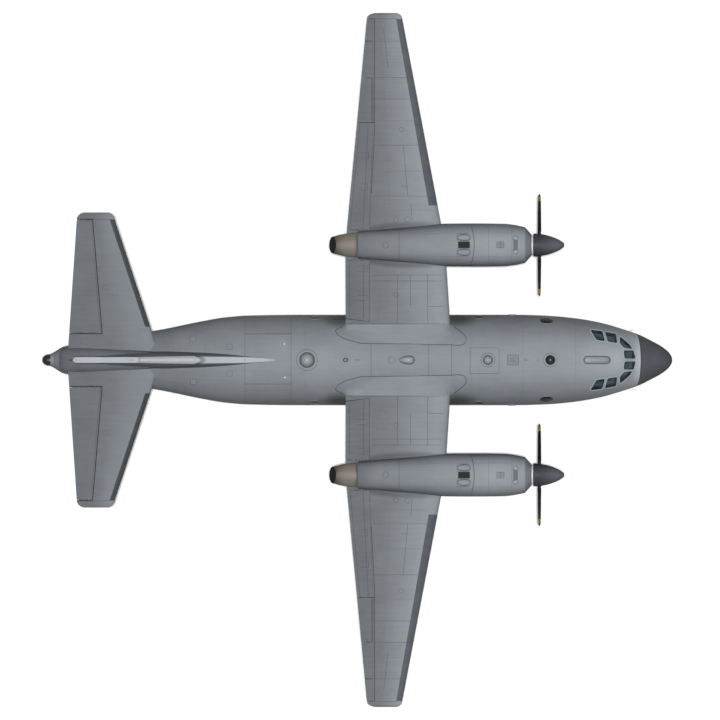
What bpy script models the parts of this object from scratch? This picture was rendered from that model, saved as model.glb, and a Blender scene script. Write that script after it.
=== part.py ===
"""Twin-turboprop military transport plane, built as an assembly of its real pieces.

Run with:  blender --background --python part.py

The frame: +X towards the nose, +Y towards the left wing tip, +Z up. The origin is on the ground,
under the middle of the plane's box. All lengths are in metres.
"""

import math

import bmesh
import bpy
from mathutils import Matrix, Vector

# ------------------------------------------------------------------ driving dimensions
HALF_SPAN = 14.35
HALF_LENGTH = 13.05
SKIN = 0.06  # thickness of the fuselage wall and of the doors cut from it
FIT = 0.0004  # gap between two fixed pieces that rest on each other
SEAT = 0.004  # gap where one curved skin is cut to sit on another
RUN = 0.010  # gap round the nose of a piece that moves
END_GAP = 0.030  # gap at the two ends of a flap, aileron, elevator or rudder

NOSE_JOINT_X = 11.55  # radome to nose section
FRONT_JOINT_X = 7.60  # nose section to centre fuselage
REAR_JOINT_X = -2.20  # centre fuselage to rear fuselage
TAIL_JOINT_X = -12.10  # rear fuselage to tail cone
NOTCH_FRONT_X, NOTCH_REAR_X, NOTCH_Z = 4.69, -1.14, 3.72  # the wing sits in this notch

ENGINE_Y = 4.756
PROP_AXIS_Z = 4.05
PROP_PLANE_X = 7.526
PROP_RADIUS = 2.116
BLADES_PER_PROPELLER = 2

RAMP_FRONT_X, RAMP_REAR_X, DOOR_REAR_X = -2.45, -4.75, -6.75
RAMP_HALF_WIDTH, DOOR_REAR_HALF_WIDTH = 1.20, 1.00
# The joint between ramp and cargo door slopes forward as it rises, so that neither catches the other
# as the ramp swings down or the door swings up.
RAMP_JOINT_SLOPE = math.tan(math.radians(35))
HINGE_PROUD = 0.03  # the crew door's hinge line stands this far outside the skin
FLOOR_Z = 1.35

NOSE_GEAR_X, NOSE_WHEEL_RADIUS = 9.95, 0.37
MAIN_WHEEL_XS, MAIN_WHEEL_Y, MAIN_WHEEL_RADIUS = (1.80, 0.50), 2.12, 0.49

# ------------------------------------------------------------------ fuselage lines
# (x, value) pairs from tail to nose.
HALF_WIDTH_POINTS = [
    (-13.0, 0.10), (-12.65, 0.27), (-12.14, 0.56), (-8.00, 1.28), (-6.50, 1.59), (-5.50, 1.76),
    (-4.50, 1.84), (-2.40, 1.87), (6.50, 1.87), (7.90, 1.83), (9.00, 1.73), (10.00, 1.56),
    (11.00, 1.28), (11.72, 1.03), (12.18, 0.80), (12.55, 0.60), (13.05, 0.0),
]
TOP_POINTS = [
    (-13.0, 4.15), (-12.65, 4.24), (-12.14, 4.34), (-8.00, 4.57), (-6.50, 4.60), (-2.40, 4.62),
    (6.50, 4.62), (7.90, 4.615), (9.00, 4.56), (10.00, 4.38), (10.60, 4.19), (11.04, 3.96),
    (11.50, 3.42), (11.74, 3.25), (12.18, 2.98), (12.55, 2.76), (13.05, 2.15),
]
BOTTOM_POINTS = [
    (-13.0, 3.99), (-12.65, 3.90), (-12.14, 3.78), (-10.20, 3.45), (-8.00, 2.87), (-6.50, 2.30),
    (-5.50, 1.86), (-4.50, 1.42), (-3.30, 0.99), (-2.40, 0.88), (6.50, 0.88), (7.90, 0.89),
    (9.00, 0.94), (10.00, 1.03), (11.00, 1.18), (11.72, 1.33), (12.18, 1.47), (12.55, 1.62),
    (13.05, 2.15),
]
MID_POINTS = [
    (-13.0, 4.07), (-12.14, 4.06), (-10.20, 3.98), (-8.00, 3.72), (-6.50, 3.42), (-4.50, 2.98),
    (-2.40, 2.75), (6.50, 2.75), (7.90, 2.74), (10.00, 2.60), (11.72, 2.26), (13.05, 2.15),
]
# A section plane of the nose leans forward at its top by this much for each metre of height.
NOSE_LEAN = 0.19


def depth(x):
    """Distance behind the nose as a square root, so that the nose closes round, not pointed."""
    return math.sqrt(max(HALF_LENGTH - x, 0.0))


def smooth_line(points):
    """A smooth curve through (x, value) points that never overshoots them."""
    knots = sorted((depth(x), value) for x, value in points)
    rises = [(b[1] - a[1]) / (b[0] - a[0]) for a, b in zip(knots, knots[1:])]
    slopes = [rises[0]]
    for left, right in zip(rises, rises[1:]):
        slopes.append(2 * left * right / (left + right) if left * right > 0 else 0.0)
    slopes.append(rises[-1])

    def value_at(x):
        u = min(max(depth(x), knots[0][0]), knots[-1][0])
        i = max(k for k in range(len(rises)) if k == 0 or knots[k][0] <= u)
        (u0, v0), (u1, v1) = knots[i], knots[i + 1]
        step = u1 - u0
        t = (u - u0) / step
        return (
            v0 * (1 + 2 * t) * (1 - t) ** 2
            + slopes[i] * step * t * (1 - t) ** 2
            + v1 * t * t * (3 - 2 * t)
            + slopes[i + 1] * step * t * t * (t - 1)
        )

    return value_at


half_width = smooth_line(HALF_WIDTH_POINTS)
top_z = smooth_line(TOP_POINTS)
bottom_z = smooth_line(BOTTOM_POINTS)
mid_z = smooth_line(MID_POINTS)


def ease(t):
    t = min(max(t, 0.0), 1.0)
    return t * t * (3 - 2 * t)


def lean(x):
    return NOSE_LEAN * ease((x - 9.4) / 2.0) * (1 - ease((x - 11.8) / 1.2))


def body_point(x, angle, inset=0.0):
    """A point of the fuselage surface. Angle 0 is the crown, and positive is towards the left."""
    x = min(x, HALF_LENGTH - 1e-6)
    middle = mid_z(x)
    reach = top_z(x) - middle if math.cos(angle) > 0 else middle - bottom_z(x)
    side = max(half_width(x) - inset, 0.01)
    rise = max(reach - inset, 0.01)
    return Vector((x, side * math.sin(angle), middle + rise * math.cos(angle)))


def leaning_point(x, angle, inset=0.0):
    """The same point on a section plane that leans as the nose does."""
    middle = mid_z(x)
    shifted = x
    for _ in range(4):
        shifted = x + lean(x) * (body_point(shifted, angle, inset).z - middle)
    return body_point(shifted, angle, inset)


def body_ring(x, inset=0.0, sides=24):
    return [leaning_point(x, math.tau * i / sides, inset) for i in range(sides)]


# ------------------------------------------------------------------ wing, tailplane and fin
class Surface:
    """A tapered aerofoil surface. Stations are (span, leading x, trailing x, height, thickness)."""

    def __init__(self, stations, camber=0.0, upright=False):
        self.stations = stations
        self.camber = camber
        self.upright = upright

    def station(self, span):
        inside = [i for i in range(len(self.stations) - 1) if self.stations[i][0] <= span]
        i = inside[-1] if inside else 0
        a, b = self.stations[i], self.stations[i + 1]
        t = (span - a[0]) / (b[0] - a[0])
        return [p + (q - p) * t for p, q in zip(a, b)][1:]

    def offset(self, span, x, side):
        """Distance from the chord plane to the surface, on the upper side (1) or lower (-1)."""
        leading, trailing, _, ratio = self.station(span)
        chord = leading - trailing
        u = min(max((leading - x) / chord, 0.0), 1.0)
        half = 5 * ratio * chord * (
            0.2969 * math.sqrt(u) - 0.1260 * u - 0.3516 * u**2 + 0.2843 * u**3 - 0.1036 * u**4
        )
        edge = 0.004 if u > 0.5 else 0.0
        return 4 * self.camber * chord * u * (1 - u) + side * max(half, edge)

    def place(self, span, x, offset):
        height = self.station(span)[2]
        if self.upright:
            return Vector((x, offset + height, span))
        return Vector((x, span, height + offset))

    def section(self, span, cuts=(1.0, 0.8, 0.55, 0.3, 0.12, 0.03), grow=0.0):
        """One closed ring: trailing edge, over the top to the leading edge, and back below."""
        leading, trailing, _, _ = self.station(span)
        chord = leading - trailing
        ring = []
        for u in cuts:
            x = leading - u * chord
            shift = -grow if u == 1.0 else 0.0
            ring.append(self.place(span, x + shift, self.offset(span, x, 1) + grow))
        ring.append(self.place(span, leading + grow, 0.0))
        for u in reversed(cuts):
            x = leading - u * chord
            shift = -grow if u == 1.0 else 0.0
            ring.append(self.place(span, x + shift, self.offset(span, x, -1) - grow))
        return ring


WING_THICK, TIP_THICK = 0.150, 0.120
WING_Z, DIHEDRAL = 4.12, math.tan(math.radians(2.0))
WING_BREAK_Y, OUTER_ROOT_Y, TIP_CAP_Y = 5.20, 5.90, 14.13


def wing_height(y):
    return WING_Z + max(y - WING_BREAK_Y, 0.0) * DIHEDRAL


def rounded_tip(last, tip_span, leading_pull, trailing_pull, climb=0.0):
    """Stations that close a surface's tip in a quarter-round."""
    span, leading, trailing, height, ratio = last
    found = []
    for f in (0.45, 0.80, 0.98):
        pull = 1 - math.sqrt(1 - f * f)
        found.append((
            span + (tip_span - span) * f / 0.98,
            leading - leading_pull * pull,
            trailing + trailing_pull * pull,
            height + climb * (tip_span - span) * f,
            ratio * math.sqrt(1 - 0.93 * f * f),
        ))
    return found


LEADING_BREAK_X, LEADING_ROOT_X, LEADING_TIP_X = 3.62, 3.93, 1.844
TRAILING_ROOT_X, TRAILING_BREAK_X, TRAILING_TIP_X = -0.48, -0.50, 0.389


def outer_leading(y):
    t = (y - ENGINE_Y) / (TIP_CAP_Y - ENGINE_Y)
    return LEADING_BREAK_X + (LEADING_TIP_X - LEADING_BREAK_X) * t


def outer_trailing(y):
    t = (y - ENGINE_Y) / (TIP_CAP_Y - ENGINE_Y)
    return TRAILING_BREAK_X + (TRAILING_TIP_X - TRAILING_BREAK_X) * t


WING_END = (TIP_CAP_Y, LEADING_TIP_X, TRAILING_TIP_X, wing_height(TIP_CAP_Y), TIP_THICK)
WING = Surface(
    [
        (0.0, LEADING_ROOT_X, TRAILING_ROOT_X, WING_Z, WING_THICK),
        (ENGINE_Y, LEADING_BREAK_X, TRAILING_BREAK_X, WING_Z, WING_THICK),
        (WING_BREAK_Y, outer_leading(WING_BREAK_Y), outer_trailing(WING_BREAK_Y), WING_Z, WING_THICK),
        WING_END,
        *rounded_tip(WING_END, HALF_SPAN, 0.30, 0.42, DIHEDRAL),
    ],
    camber=0.018,
)
TAILPLANE_Z, TAIL_SEAT_Y = 4.36, 1.6
TAILPLANE_END = (5.81, -10.05, -11.61, TAILPLANE_Z, 0.11)
TAILPLANE = Surface([
    (0.0, -8.12, -12.00, TAILPLANE_Z, 0.105),
    TAILPLANE_END,
    *rounded_tip(TAILPLANE_END, 6.10, 0.30, 0.35),
])
FIN_BASE_Z, FIN_CAP_Z, FIN_TOP_Z = 4.30, 9.45, 9.72
FIN_END = (FIN_CAP_Z, -9.02, -11.72, 0.0, 0.11)
FIN = Surface(
    [
        (FIN_BASE_Z, -5.70, -12.05, 0.0, 0.098),
        (5.30, -6.28, -11.98, 0.0, 0.105),
        FIN_END,
        *rounded_tip(FIN_END, FIN_TOP_Z, 0.35, 0.25),
    ],
    upright=True,
)

# Each moving surface: (surface, inner span, outer span, hinge x at inner span, at outer span, rake).
# The rake slants the inner end, so that a lowered flap clears the side of the fuselage.
FLAP_INNER = (WING, 1.60, ENGINE_Y - 0.64, 0.42, 0.42, 0.14)
FLAP_OUTER = (WING, ENGINE_Y + 0.64, 9.79, 0.434, 0.600, 0.0)
AILERON = (WING, 9.83, 14.09, 0.616, 0.616, 0.0)
ELEVATOR = (TAILPLANE, 1.14, 5.77, -10.69, -11.05, 0.0)
RUDDER = (FIN, 4.80, 9.41, -10.45, -10.86, 0.0)
FLAP_HINGE_DROP = 0.16  # the flaps turn about an axis near the wing's lower skin


def hinge_x(item, span):
    _, inner, outer, x_inner, x_outer, _ = item
    return x_inner + (x_outer - x_inner) * (span - inner) / (outer - inner)


def nose_of(item, span):
    """Centre (x, offset) and radius of the round nose of a moving surface."""
    surface = item[0]
    x = hinge_x(item, span)
    top, low = surface.offset(span, x, 1), surface.offset(span, x, -1)
    return x, (top + low) / 2, (top - low) / 2


def moving_section(item, span, arc_steps=4):
    """The closed ring of a flap, aileron, elevator or rudder at one span."""
    surface = item[0]
    x, middle, radius = nose_of(item, span)
    _, trailing, _, _ = surface.station(span)
    ring = []
    for u in (1.0, 0.5):
        at = x + (trailing - x) * u
        ring.append((at, surface.offset(span, at, 1)))
    for i in range(arc_steps + 1):
        angle = math.pi / 2 - math.pi * i / arc_steps
        ring.append((x + radius * math.cos(angle), middle + radius * math.sin(angle)))
    for u in (0.5, 1.0):
        at = x + (trailing - x) * u
        ring.append((at, surface.offset(span, at, -1)))
    return raked(item, span, ring)


def cove_section(item, span, arc_steps=4):
    """The ring of the cutter that makes room for a moving surface: a round cove, open aft."""
    x, middle, radius = nose_of(item, span)
    room = radius + RUN
    lip = math.radians(34)
    far, tall = 2.0, 0.6
    ring = [(x - far, middle + tall), (x + room * math.sin(lip), middle + tall)]
    for i in range(arc_steps + 1):
        angle = math.pi / 2 - lip - (math.pi - 2 * lip) * i / arc_steps
        ring.append((x + room * math.cos(angle), middle + room * math.sin(angle)))
    ring += [(x + room * math.sin(lip), middle - tall), (x - far, middle - tall)]
    return raked(item, span, ring)


def raked(item, span, ring):
    """Places (x, offset) points at a span, slanted by the rake at the item's inner end only."""
    surface, inner, outer = item[:3]
    slant = item[5] if span < (inner + outer) / 2 else 0.0
    hinge = hinge_x(item, span)
    return [surface.place(span, x, offset) + Vector((0, slant * (hinge - x), 0)) for x, offset in ring]


# ------------------------------------------------------------------ Blender helpers
def clear_scene():
    for obj in list(bpy.data.objects):
        bpy.data.objects.remove(obj, do_unlink=True)


def new_collection(name):
    collection = bpy.data.collections.new(name)
    bpy.context.scene.collection.children.link(collection)
    return collection


def material(name, colour, roughness, metallic=0.0, alpha=1.0):
    made = bpy.data.materials.new(name)
    made.use_nodes = True
    shader = made.node_tree.nodes["Principled BSDF"]
    shader.inputs["Base Color"].default_value = (*colour, 1.0)
    shader.inputs["Roughness"].default_value = roughness
    shader.inputs["Metallic"].default_value = metallic
    shader.inputs["Alpha"].default_value = alpha
    made.diffuse_color = (*colour, alpha)
    return made


clear_scene()
PARTS = new_collection("military_transport_plane")
CUTTERS = new_collection("cutters")

GREY_PAINT = material("grey_paint", (0.193, 0.207, 0.224), 0.45)
WING_PAINT = material("wing_paint", (0.198, 0.212, 0.230), 0.45)
TAIL_PAINT = material("tail_paint", (0.160, 0.172, 0.187), 0.45)
DARK_PAINT = material("dark_paint", (0.080, 0.087, 0.098), 0.50)
GLASS = material("window_glass", (0.05, 0.09, 0.10), 0.08, alpha=0.45)
INTERIOR = material("interior_grey", (0.18, 0.19, 0.18), 0.7)
SEAT_FABRIC = material("seat_fabric", (0.06, 0.07, 0.06), 0.9)
BARE_METAL = material("bare_metal", (0.45, 0.44, 0.42), 0.35, 1.0)
HOT_METAL = material("hot_metal", (0.16, 0.145, 0.13), 0.45, 1.0)
BLADE_PAINT = material("blade_paint", (0.012, 0.012, 0.013), 0.4)
TYRE = material("tyre_rubber", (0.02, 0.02, 0.02), 0.85)
GEAR_PAINT = material("gear_paint", (0.55, 0.56, 0.57), 0.4)


SHARP_ANGLE = math.radians(35)  # edges sharper than this stay sharp on a smooth piece


def finish(obj, paint=None):
    """Puts a piece in the parts collection with its paint, or a cutter in the cutters one."""
    for holder in list(obj.users_collection):
        holder.objects.unlink(obj)
    if paint is None:
        CUTTERS.objects.link(obj)
        obj.hide_render = True
        obj.display_type = "WIRE"
        return obj
    PARTS.objects.link(obj)
    obj.data.materials.clear()
    obj.data.materials.append(paint)
    obj.data.shade_smooth()
    obj.data.set_sharp_from_angle(angle=SHARP_ANGLE)
    return obj


def loft(name, rings, paint=None, closed=False):
    """A solid skinned over rings of points. A closed one joins its last ring to its first."""
    bm = bmesh.new()
    made = [[bm.verts.new(p) for p in ring] for ring in rings]
    pairs = list(zip(made, made[1:]))
    if closed:
        pairs.append((made[-1], made[0]))
    for a, b in pairs:
        for i in range(len(a)):
            k = (i + 1) % len(a)
            bm.faces.new((a[i], a[k], b[k], b[i]))
    if not closed:
        bm.faces.new(made[0])
        bm.faces.new(made[-1])
    bmesh.ops.recalc_face_normals(bm, faces=bm.faces)
    mesh = bpy.data.meshes.new(name)
    bm.to_mesh(mesh)
    bm.free()
    if signed_volume(mesh) < 0:
        mesh.flip_normals()
    obj = bpy.data.objects.new(name, mesh)
    bpy.context.scene.collection.objects.link(obj)
    return finish(obj, paint)


def signed_volume(mesh):
    mesh.calc_loop_triangles()
    total = 0.0
    for tri in mesh.loop_triangles:
        a, b, c = (mesh.vertices[i].co for i in tri.vertices)
        total += a.dot(b.cross(c))
    return total / 6


def box(name, low, high, paint=None):
    bpy.ops.mesh.primitive_cube_add(size=1)
    obj = bpy.context.object
    obj.name = name
    low, high = Vector(low), Vector(high)
    obj.data.transform(Matrix.Diagonal((*(high - low), 1.0)))
    obj.data.transform(Matrix.Translation((low + high) / 2))
    return finish(obj, paint)


def rod(name, start, end, radius, paint=None, sides=16):
    """A plain round bar between two points."""
    start, end = Vector(start), Vector(end)
    bpy.ops.mesh.primitive_cylinder_add(vertices=sides, radius=radius, depth=(end - start).length)
    obj = bpy.context.object
    obj.name = name
    turn = (end - start).to_track_quat("Z", "Y").to_matrix().to_4x4()
    obj.data.transform(Matrix.Translation((start + end) / 2) @ turn)
    return finish(obj, paint)


def prism(name, outline, low_z, high_z, paint=None):
    """An upright prism over a plan outline of (x, y) points."""
    rings = [[Vector((x, y, z)) for x, y in outline] for z in (low_z, high_z)]
    return loft(name, rings, paint)


def turned(name, profile, centre, paint=None, segments=24, closed=False):
    """A solid turned about the local Z axis, laid so that it spins about Y. Profile is (radius, z)."""
    mesh = bpy.data.meshes.new(name)
    count = len(profile)
    edges = [(i, i + 1) for i in range(count - 1)] + ([(count - 1, 0)] if closed else [])
    mesh.from_pydata([(r, 0.0, z) for r, z in profile], edges, [])
    obj = bpy.data.objects.new(name, mesh)
    bpy.context.scene.collection.objects.link(obj)
    screw = obj.modifiers.new("turn", "SCREW")
    screw.axis = "Z"
    screw.steps = screw.render_steps = segments
    screw.use_merge_vertices = True
    screw.merge_threshold = 0.00005
    obj.location = centre
    obj.rotation_euler = (math.radians(-90), 0, 0)
    finish(obj, paint)
    return obj


def boolean(obj, other, operation="DIFFERENCE"):
    step = obj.modifiers.new(f"{operation.lower()}_{other.name}", "BOOLEAN")
    step.operation = operation
    step.solver = "EXACT"
    step.object = other
    return obj


def baked(obj):
    """The object with its modifiers applied, so that it can be copied or cut again."""
    bpy.context.view_layer.update()
    graph = bpy.context.evaluated_depsgraph_get()
    mesh = bpy.data.meshes.new_from_object(obj.evaluated_get(graph))
    obj.modifiers.clear()
    obj.data = mesh
    return obj


def mirrored(obj, name, paint=None):
    """A copy of a finished piece on the other side of the plane."""
    mesh = obj.data.copy()
    mesh.transform(obj.matrix_world)
    mesh.transform(Matrix.Diagonal((1, -1, 1, 1)))
    mesh.flip_normals()
    other = bpy.data.objects.new(name, mesh)
    bpy.context.scene.collection.objects.link(other)
    return finish(other, paint)


def pivot(name, location, children):
    """An empty on a joint's axis that carries the pieces that turn there."""
    empty = bpy.data.objects.new(name, None)
    empty.location = location
    PARTS.objects.link(empty)
    bpy.context.view_layer.update()
    for child in children:
        world = child.matrix_world.copy()
        child.parent = empty
        child.matrix_world = world
    return empty


# ------------------------------------------------------------------ fuselage
def body_tube(name, xs, paint, inset=0.0, wall=SKIN):
    """A length of fuselage wall, open at both ends."""
    outer = [body_ring(x, inset) for x in xs]
    inner = [body_ring(x, inset + wall) for x in reversed(xs)]
    return loft(name, outer + inner, paint, closed=True)


def body_solid(name, xs, inset=0.0):
    return loft(name, [body_ring(x, inset) for x in xs])


WINDOW_OUTLINES = {
    "front": [(11.02, 0.38), (11.42, 0.38), (11.49, 0.07), (11.06, 0.07)],
    "corner": [(10.87, 0.955), (11.08, 0.78), (11.25, 0.63), (11.36, 0.47), (11.04, 0.51), (10.865, 0.69)],
    "side_front": [(10.25, 1.155), (10.69, 1.07), (10.73, 0.71), (10.36, 0.77)],
    "side_rear": [(9.65, 1.24), (10.12, 1.18), (10.22, 0.79), (9.89, 0.835)],
}
COCKPIT_STATIONS = (9.0, 9.6, 10.1, 10.5, 10.85, 11.1, 11.3, 11.43)
CREW_DOOR = {"x": (8.00, 8.75), "z": (1.45, 3.05)}
NOSE_WELL = {"x": (9.15, 10.45), "y": 0.36, "z": 1.75}


def make_nose():
    tip = [HALF_LENGTH - d for d in (0.0, 0.02, 0.08, 0.20, 0.40, 0.70, 1.05)]
    base = NOSE_JOINT_X + FIT
    outer = [body_ring(x) for x in tip + [base]]
    inner = [body_ring(x, 0.04) for x in [base] + tip[:0:-1]]
    loft("radome", outer + inner, DARK_PAINT)

    xs = [FRONT_JOINT_X, 8.3, *COCKPIT_STATIONS, NOSE_JOINT_X]
    nose = body_tube("nose_section", xs, GREY_PAINT)
    for name, outline in WINDOW_OUTLINES.items():
        for side in (1, -1):
            flat = [(x, side * y) for x, y in outline]
            boolean(nose, prism(f"cut_{name}_{side}", flat, 2.9, 5.2))
    (x0, x1), (z0, z1) = CREW_DOOR["x"], CREW_DOOR["z"]
    hole = box("cut_crew_door", (x0 - RUN, 0.9, z0 - RUN), (x1 + RUN, 2.4, z1 + RUN))
    boolean(nose, hole)
    (wx0, wx1), wy, wz = NOSE_WELL["x"], NOSE_WELL["y"], NOSE_WELL["z"]
    boolean(nose, box("cut_nose_well", (wx0, -wy, 0.2), (wx1, wy, wz)))

    door = body_tube("crew_door", [7.7, 8.3, 9.0], GREY_PAINT)
    boolean(door, box("keep_crew_door", (x0, 0.9, z0), (x1, 2.4, z1)), "INTERSECT")
    baked(door)
    hinge = crew_door_hinge()
    pivot("crew_door_hinge", hinge, [door])


def crew_door_hinge():
    """The crew door turns about a line just outside its lower edge."""
    (x0, x1), (z0, _) = CREW_DOOR["x"], CREW_DOOR["z"]
    x = (x0 + x1) / 2
    drop = (z0 - mid_z(x)) / (mid_z(x) - bottom_z(x))
    return Vector((x, half_width(x) * math.sqrt(1 - drop * drop) + HINGE_PROUD, z0))


def make_glazing():
    """One curved pane behind all the cockpit windows, carried inside the wall."""
    rings = []
    spread = [math.radians(a) for a in range(-60, 61, 15)]
    for x in COCKPIT_STATIONS:
        outer = [leaning_point(x, a, SKIN + 0.025) for a in spread]
        inner = [leaning_point(x, a, SKIN + 0.045) for a in reversed(spread)]
        rings.append(outer + inner)
    loft("cockpit_glazing", rings, GLASS)


def plate(name, xs, z0, z1, margin, paint, taper=1.0):
    """A floor that follows the inside of the fuselage."""
    rings = []
    for x in xs:
        height = min(abs(z0 - mid_z(x)), (mid_z(x) - bottom_z(x)) - SKIN - margin - 0.01)
        drop = height / (mid_z(x) - bottom_z(x) - SKIN - margin)
        w = (half_width(x) - SKIN - margin) * math.sqrt(1 - drop * drop) * taper
        rings.append([Vector((x, w, z1)), Vector((x, -w, z1)), Vector((x, -w, z0)), Vector((x, w, z0))])
    return loft(name, rings, paint)


def make_interior():
    floor = plate("cockpit_floor", (8.95, 9.6, 10.2, 10.8, 11.15), 2.30, 2.35, 0.03, INTERIOR)
    wall = box("cockpit_bulkhead_add", (8.90, -1.45, 2.31), (8.96, 1.45, 3.10))
    boolean(floor, wall, "UNION")
    plate("cargo_floor", (-2.15, 2.0, 6.5, 7.6, 8.85), 1.24, FLOOR_Z, 0.03, INTERIOR)
    box("instrument_panel", (10.86, -0.78, 2.3505), (11.10, 0.78, 3.22), INTERIOR)
    for side, name in ((1, "pilot_seat_left"), (-1, "pilot_seat_right")):
        y = side * 0.52
        seat = box(name, (9.90, y - 0.24, 2.3505), (10.40, y + 0.24, 2.74), SEAT_FABRIC)
        back = box(f"add_{name}_back", (9.78, y - 0.23, 2.45), (9.92, y + 0.23, 3.30))
        head = box(f"add_{name}_head", (9.79, y - 0.13, 3.28), (9.90, y + 0.13, 3.48))
        boolean(seat, back, "UNION")
        boolean(seat, head, "UNION")


def make_centre_fuselage():
    xs = [REAR_JOINT_X + FIT, NOTCH_REAR_X, 1.8, NOTCH_FRONT_X, 6.5, FRONT_JOINT_X - FIT]
    centre = body_tube("center_fuselage", xs, GREY_PAINT)
    boolean(centre, box("cut_wing_notch", (NOTCH_REAR_X, -3, NOTCH_Z), (NOTCH_FRONT_X, 3, 6)))


def make_wing_fairing():
    """The saddle over the wing: the crown, and the fillets before and behind the wing."""
    rings = []
    x0, x1 = NOTCH_REAR_X + FIT, NOTCH_FRONT_X - FIT
    xs = (x0, -0.7, -0.2, 0.8, 1.8, 2.8, 3.8, 4.25, x1)
    rise = NOTCH_Z + FIT - mid_z(0)
    outer_radius = top_z(0) - mid_z(0)
    inner_radius = outer_radius - SKIN
    for x in xs:
        outer_end = math.acos(rise / outer_radius)
        inner_end = math.acos(rise / inner_radius)
        outer, inner = [], []
        for i in range(-6, 7):
            outer.append(body_point(x, outer_end * i / 6))
            inner.append(body_point(x, -inner_end * i / 6, SKIN))
        rings.append(outer + inner)
    fairing = loft("wing_fairing", rings, GREY_PAINT)
    spans = (-2.2, 0.0, 2.2)
    cutter = loft("cut_center_wing", [wing_ring(y, grow=SEAT) for y in spans])
    boolean(fairing, cutter)


REAR_STATIONS = (REAR_JOINT_X, -3.0, -3.8, -4.75, -5.7, -6.75, -8.0, -9.5, -11.0, TAIL_JOINT_X)


def make_rear_fuselage():
    rear = body_tube("rear_fuselage", REAR_STATIONS, GREY_PAINT)
    grow = RUN
    hole = [
        (RAMP_FRONT_X + grow, RAMP_HALF_WIDTH + grow),
        (RAMP_REAR_X, RAMP_HALF_WIDTH + grow),
        (DOOR_REAR_X - grow, DOOR_REAR_HALF_WIDTH + grow),
    ]
    outline = hole + [(x, -y) for x, y in reversed(hole)]
    boolean(rear, prism("cut_cargo_opening", outline, 0.2, 3.15))
    cut_tail_seat(rear)

    ramp = body_tube("cargo_ramp", [-2.2, -3.0, -3.8, -4.75, -5.7], GREY_PAINT)
    boolean(ramp, ramp_joint_block("keep_ramp", RAMP_FRONT_X, RUN, RAMP_HALF_WIDTH), "INTERSECT")
    baked(ramp)
    pivot("cargo_ramp_hinge", ramp_hinge(), [ramp])

    door = body_tube("cargo_door", [-3.0, -3.8, -4.75, -5.7, -6.75, -8.0], GREY_PAINT)
    half = [(-3.1, RAMP_HALF_WIDTH), (RAMP_REAR_X, RAMP_HALF_WIDTH), (DOOR_REAR_X, DOOR_REAR_HALF_WIDTH)]
    keep = prism("keep_cargo_door", half + [(x, -y) for x, y in reversed(half)], 0.2, 3.3)
    boolean(door, keep, "INTERSECT")
    boolean(door, ramp_joint_block("keep_behind_ramp", -8.5, 0.0, 2.0), "INTERSECT")
    baked(door)
    pivot("cargo_door_hinge", door_hinge(), [door])


def ramp_joint_block(name, far_x, gap, half_width_y):
    """A block from far_x up to the sloping joint between ramp and cargo door."""
    low_z, high_z = 0.2, 3.1
    foot = bottom_z(RAMP_REAR_X)
    low_x, high_x = (RAMP_REAR_X + gap + (z - foot) * RAMP_JOINT_SLOPE for z in (low_z, high_z))
    outline = [(far_x, low_z), (far_x, high_z), (high_x, high_z), (low_x, low_z)]
    return loft(name, [[Vector((x, y, z)) for x, z in outline] for y in (-half_width_y, half_width_y)])


def ramp_hinge():
    return Vector((RAMP_FRONT_X, 0, bottom_z(RAMP_FRONT_X)))


def door_hinge():
    """The cargo door turns about a line level with the top of its rear edge, so none of it swings aft."""
    middle = mid_z(DOOR_REAR_X)
    reach = DOOR_REAR_HALF_WIDTH / (half_width(DOOR_REAR_X) - SKIN)
    inside = (middle - bottom_z(DOOR_REAR_X) - SKIN) * math.sqrt(1 - reach * reach)
    return Vector((DOOR_REAR_X, 0, middle - inside))


def cut_tail_seat(piece):
    """Opens the crown where the tailplane's middle sits."""
    cutter = loft(
        f"cut_tailplane_{piece.name}",
        [TAILPLANE.section(y, grow=SEAT) for y in (0.0, TAIL_SEAT_Y)],
    )
    other = mirrored(cutter, f"{cutter.name}_right")
    boolean(piece, cutter)
    boolean(piece, other)


def make_tail_cone():
    end = -HALF_LENGTH
    xs = [TAIL_JOINT_X - FIT, -12.4, -12.65]
    outer = [body_ring(x) for x in xs]
    loft("tail_cone", outer, GREY_PAINT)
    light_z = mid_z(-12.65)
    profile = [(0.0, 0.20), (0.14, 0.17), (0.22, 0.08), (0.24, 0.0), (0.24, -0.1996), (0.0, -0.1996)]
    lamp = turned("tail_light", profile, (0, 0, 0), DARK_PAINT, 20)
    lamp.rotation_euler = (0, math.radians(-90), 0)
    lamp.location = (end + 0.20, 0, light_z)


# ------------------------------------------------------------------ wing
def wing_ring(y, grow=0.0):
    """A wing section at any y, left or right, always walked in the same order."""
    ring = WING.section(abs(y), grow=grow)
    return [Vector((p.x, y, p.z)) for p in ring]


def cove(name, item, side):
    rings = []
    inner, outer = item[1], item[2]
    for span in (inner - END_GAP, outer + END_GAP):
        rings.append(cove_section(item, span))
    cutter = loft(name, rings)
    if side < 0:
        flipped = mirrored(cutter, f"{name}_right")
        bpy.data.objects.remove(cutter, do_unlink=True)
        return flipped
    return cutter


def moving(name, item, side, paint):
    """A flap, aileron, elevator or rudder on the left, or mirrored to the right."""
    piece = loft(name, [moving_section(item, span) for span in item[1:3]], paint)
    if side < 0:
        piece.name = f"{name}_left_copy"
        flipped = mirrored(piece, name, paint)
        bpy.data.objects.remove(piece, do_unlink=True)
        return flipped
    return piece


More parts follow.
